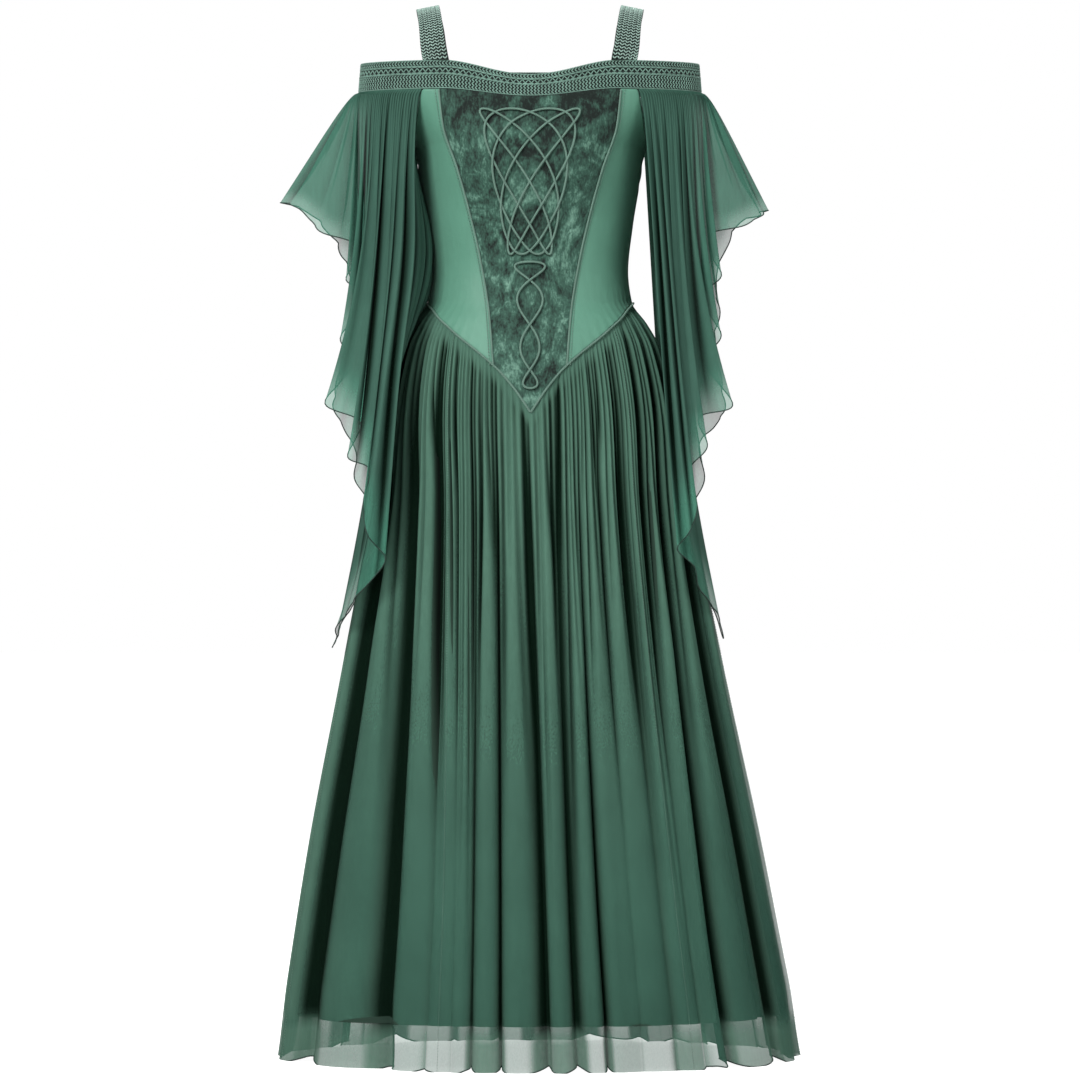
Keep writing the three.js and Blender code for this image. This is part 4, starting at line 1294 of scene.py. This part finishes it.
def sleevePoints(sideName, seed):
    under, front = (np.array(sleeveHems[sideName][part], float) for part in ("underarm", "front"))
    ring = hemRing(under, front)
    count = len(ring)
    corner = len(under)
    elbow = corner + len(front) - 1
    row = np.arange(count * sleeve["stepsPerRow"]) / sleeve["stepsPerRow"]
    mirrored = np.where(row > elbow, 2 * elbow - row, row)
    share = np.where(
        mirrored < corner,
        sleeve["armholeShare"] * np.maximum(0, mirrored) / corner,
        mix(sleeve["armholeShare"], 0.5, (mirrored - corner) / (elbow - corner)),
    )
    top = sleeveTop(np.where(row > elbow, 1 - share, share) % 1)[None]
    end = splinePoints(ring[:, :3] * np.array([1, -1, 1]), row / count, True)[None]
    swing = np.interp(row, np.arange(count + 1), np.append(ring[:, 3], ring[0, 3]))
    down = np.linspace(0, 1, sleeve["rows"])[:, None]
    points = mix(top, end, (down ** swing)[..., None])
    points[..., 2] = mix(top[..., 2], end[..., 2], down)
    outside = unit(np.stack([points[..., 0] - sleeve["middle"], points[..., 1], 0 * points[..., 0]], -1))
    points[..., 0] += sleeve["swell"] * np.sin(math.pi * down ** 0.4)
    tuck = sleeve["tuck"][sideName] * bell(points[..., 2] - sleeve["tuckMiddle"], sleeve["tuckTall"])
    points[..., 0] -= tuck * bell(mirrored, sleeve["tuckWide"])  # a fold that falls in against the waist
    draw = np.random.default_rng(seed)
    depths = draw.uniform(*sleeve["dentUneven"], count + 1)
    waver = draw.uniform(-sleeve["waver"], sleeve["waver"], count + 1)
    fold = np.floor(row).astype(int)
    bent = row % 1 + waver[fold] * np.sin(math.pi * (row % 1))
    arch = np.abs(np.cos(math.pi * bent)) ** 0.8
    deep = sleeve["dent"] * depths[fold]
    dent = deep * (1 - arch) * np.sin(math.pi / 2 * np.minimum(1, down / sleeve["dentBy"]))
    dent = dent * mix(1, sleeve["dentAtHem"], smoothStep(down, 0.7, 1))
    waves = 1 - np.cos(2 * sleeve["gathersPerRow"] * math.pi * row)
    gather = sleeve["gather"] * waves / 2 * np.exp(-5 * down) * np.minimum(1, down * 150)
    points = points - outside * (dent + gather)[..., None]
    column = mix(1, sleeve["thinColumn"], smoothStep(mirrored, corner + 4, corner + 10))
    gathered = np.maximum(column, sleeve["topGathered"] * np.exp(-4 * down))
    gathered = gathered * (1 - smoothStep(down, 0.84, 0.98))
    # Painted shade in the dents and the gathers, paler away from the column; it also counts as gathered.
    hollow = smoothStep((dent + 2.4 * gather) / sleeve["dent"], 0.1, 0.9)
    hollow = hollow * mix(sleeve["paleHollow"], 1, column)
    gathered = np.maximum(gathered, hollow * (1 - smoothStep(down, 0.9, 1)))
    pastCorner = np.minimum(row - corner, 2 * elbow - corner - row)
    clearance = mix(sleeve["clearInner"], sleeve["clearOuter"], smoothStep(pastCorner, -2, 2))
    return clearOfSkirt(points, clearance * np.minimum(1, down / sleeve["clearBy"])), gathered, hollow


sleeveCut = (1.6, 0.68, 0.40)  # all round: width, length and area in metres


def makeSleeve(sideName, side, seed):
    points, gathered, hollow = (values[:, ::side] for values in sleevePoints(sideName, seed))
    points = points * np.array([side, 1, 1])
    node = "sleeve_" + sideName
    notes = {"gathered": gathered, "hollow": hollow}
    piece = clothPiece(node + "_cloth", points, sleeveChiffon, "chiffon", node, sleeveCut[:2], True, **notes)
    rolledHem(node + "_hem", points, hemRadius["sleeve"], node)


makeSleeve("right", -1, 21)
makeSleeve("left", 1, 22)
print("sleeves hung")

# piping and interlace
piping = {
    "radius": 1.6,
    "lay": 6.5,
    "lift": 1.2,
    "waistStations": 900,
    "panelRadius": 1.5,
    "panelTop": -113,
    "panelBottom": -476,
    "panelStations": 240,
}
picot = {"beside": 1.5, "lift": 1.5, "length": 3.0, "gap": 1.2, "radius": 0.8}


def onBodice(angle, z, lift):
    step = 2
    around = figurePoint(angle + step, z) - figurePoint(angle - step, z)
    down = figurePoint(angle, z - step) - figurePoint(angle, z + step)
    out = unit(np.cross(down, around))
    return figurePoint(angle, z) + out * np.asarray(lift)[..., None], out


def makePiping():
    angle = np.linspace(-180, 180, piping["waistStations"], endpoint=False)
    out = outwards(angle, waistZ(angle))
    line = figurePoint(angle, waistZ(angle)) + out * piping["lift"]
    cord = twistedCord(line, out, piping["radius"], piping["lay"], True)
    linkMesh("piping_waist_cord", *cord, cordThread, "cord", "piping_waist")
    z = np.linspace(piping["panelTop"], piping["panelBottom"], piping["panelStations"])
    for name, side in (("piping_front_left", 1), ("piping_front_right", -1)):
        line = onBodice(side * velvetSeamAngle(z), z, piping["lift"] + 0 * z)
        cord = twistedCord(*line, piping["panelRadius"], piping["lay"], False)
        line = onBodice(side * (velvetSeamAngle(z) + picot["beside"]), z, picot["lift"] + 0 * z)
        picots = stitchRow(*line, picot["length"], picot["gap"], picot["radius"])
        linkMesh(name + "_cord", *joined([cord, picots]), cordThread, "cord", name)


plaitCord = {"radius": 1.6, "lay": 4.2, "clear": 0.3, "rise": 1.3, "stations": 1600}


def plaitPlace(plait, turn):
    fall = (1 - np.cos(plait["falls"] * turn)) / 2
    wide = mix(plait["wideTop"], plait["wideBottom"], fall)
    return wide * np.sin(plait["sweeps"] * turn + math.radians(plait["start"])), fall


def crossingLevels(plait):  # over and under by turns at the crossings, half way where the cord turns back
    count = 4 * plait["sweeps"] * plait["falls"]
    x, fall = plaitPlace(plait, math.pi * np.arange(count) / (count / 2))
    apart = np.hypot(x[:, None] - x, fall[:, None] - fall)
    over, levels = 0, []
    for i in range(count):
        if np.count_nonzero(apart[i] < 1e-6) > 1:
            over = 1 - over
            levels.append(over)
        else:
            levels.append(0.5)
    return np.array(levels, float)


def makeInterlace(plait):
    levels = crossingLevels(plait)
    share = np.arange(plaitCord["stations"]) / plaitCord["stations"]
    x, fall = plaitPlace(plait, 2 * math.pi * share)
    z = mix(plait["top"], plait["bottom"], fall)
    place = share * len(levels)
    before = np.floor(place).astype(int)
    level = mix(levels[before], levels[(before + 1) % len(levels)], smoothStep(place - before, 0, 1))
    lift = plaitCord["radius"] + plaitCord["clear"] + plaitCord["rise"] * plaitCord["radius"] * level
    line = onBodice(np.degrees(np.arcsin(x / halfWidthAt(z))), z, lift)
    cord = twistedCord(*line, plaitCord["radius"], plaitCord["lay"], True)
    linkMesh(plait["node"] + "_cord", *cord, cordThread, "cord", plait["node"])


makePiping()
for plait in plaits:
    makeInterlace(plait)
print("piping and interlace couched")

# studio: a pale floor that goes on past every view, white surroundings and soft lights
studio = {
    "floorGap": 0.004,
    "floorReach": 30.0,
    "floorColour": (0.50, 0.50, 0.49, 1),
    "floorSpeck": 0.985,
    "floorGlow": 0.95,
    "surroundings": 0.34,
    "aim": (0, 0, -0.7),
    "lights": [
        ("keyLight", (-1.6, -3.1, 1.4), 1.2, 146.0),
        ("fillLight", (3.4, -3.4, 1.1), 2.4, 62.0),
        ("backLight", (0.6, 3.6, 2.4), 2.4, 150.0),
    ],
}


def addStudio(name, data):
    obj = bpy.data.objects.new(name, data)
    scene.collection.objects.link(obj)
    return obj


def makeFloor(reach):
    z = cadBox[0].z - studio["floorGap"]
    corners = [(x * reach, y * reach, z) for x, y in ((-1, -1), (1, -1), (1, 1), (-1, 1))]
    mesh = bpy.data.meshes.new("studioFloor")
    mesh.from_pydata(corners, [], [(0, 1, 2, 3)])
    material, tree, shader, coords = newMaterial("paleFloor", Roughness=0.8, Emission_Color=(1, 1, 1, 1))
    seen = tree.nodes.new("ShaderNodeLightPath").outputs["Is Camera Ray"]
    tree.links.new(mathNode(tree, "MULTIPLY", seen, studio["floorGlow"]), shader.inputs["Emission Strength"])
    pale = studio["floorColour"]
    shaded = (*(studio["floorSpeck"] * c for c in pale[:3]), 1)
    speck = noiseNode(tree, coords["Object"], 3.0, 3.0)
    tree.links.new(mixColour(tree, speck, pale, shaded), shader.inputs["Base Color"])
    mesh.materials.append(material)
    addStudio("studioFloor", mesh)


def makeStudio():
    makeFloor(studio["floorReach"])
    world = bpy.data.worlds.new("studioWorld")
    world.use_nodes = True
    tree, background = world.node_tree, world.node_tree.nodes["Background"]
    background.inputs["Color"].default_value = (1, 1, 1, 1)
    seen = tree.nodes.new("ShaderNodeLightPath").outputs["Is Camera Ray"]
    glow = rangeNode(tree, seen, 0.0, 1.0, studio["surroundings"], 1.0)
    tree.links.new(glow, background.inputs["Strength"])
    scene.world = world
    for name, place, size, power in studio["lights"]:
        light = bpy.data.lights.new(name, "AREA")
        light.size, light.energy = size, power
        lamp = addStudio(name, light)
        lamp.location = place
        lamp.rotation_euler = (Vector(studio["aim"]) - Vector(place)).to_track_quat("-Z", "Y").to_euler()


makeStudio()
scene.view_settings.view_transform = "Standard"
scene.cycles.transparent_max_bounces = 24
print("studio lit")
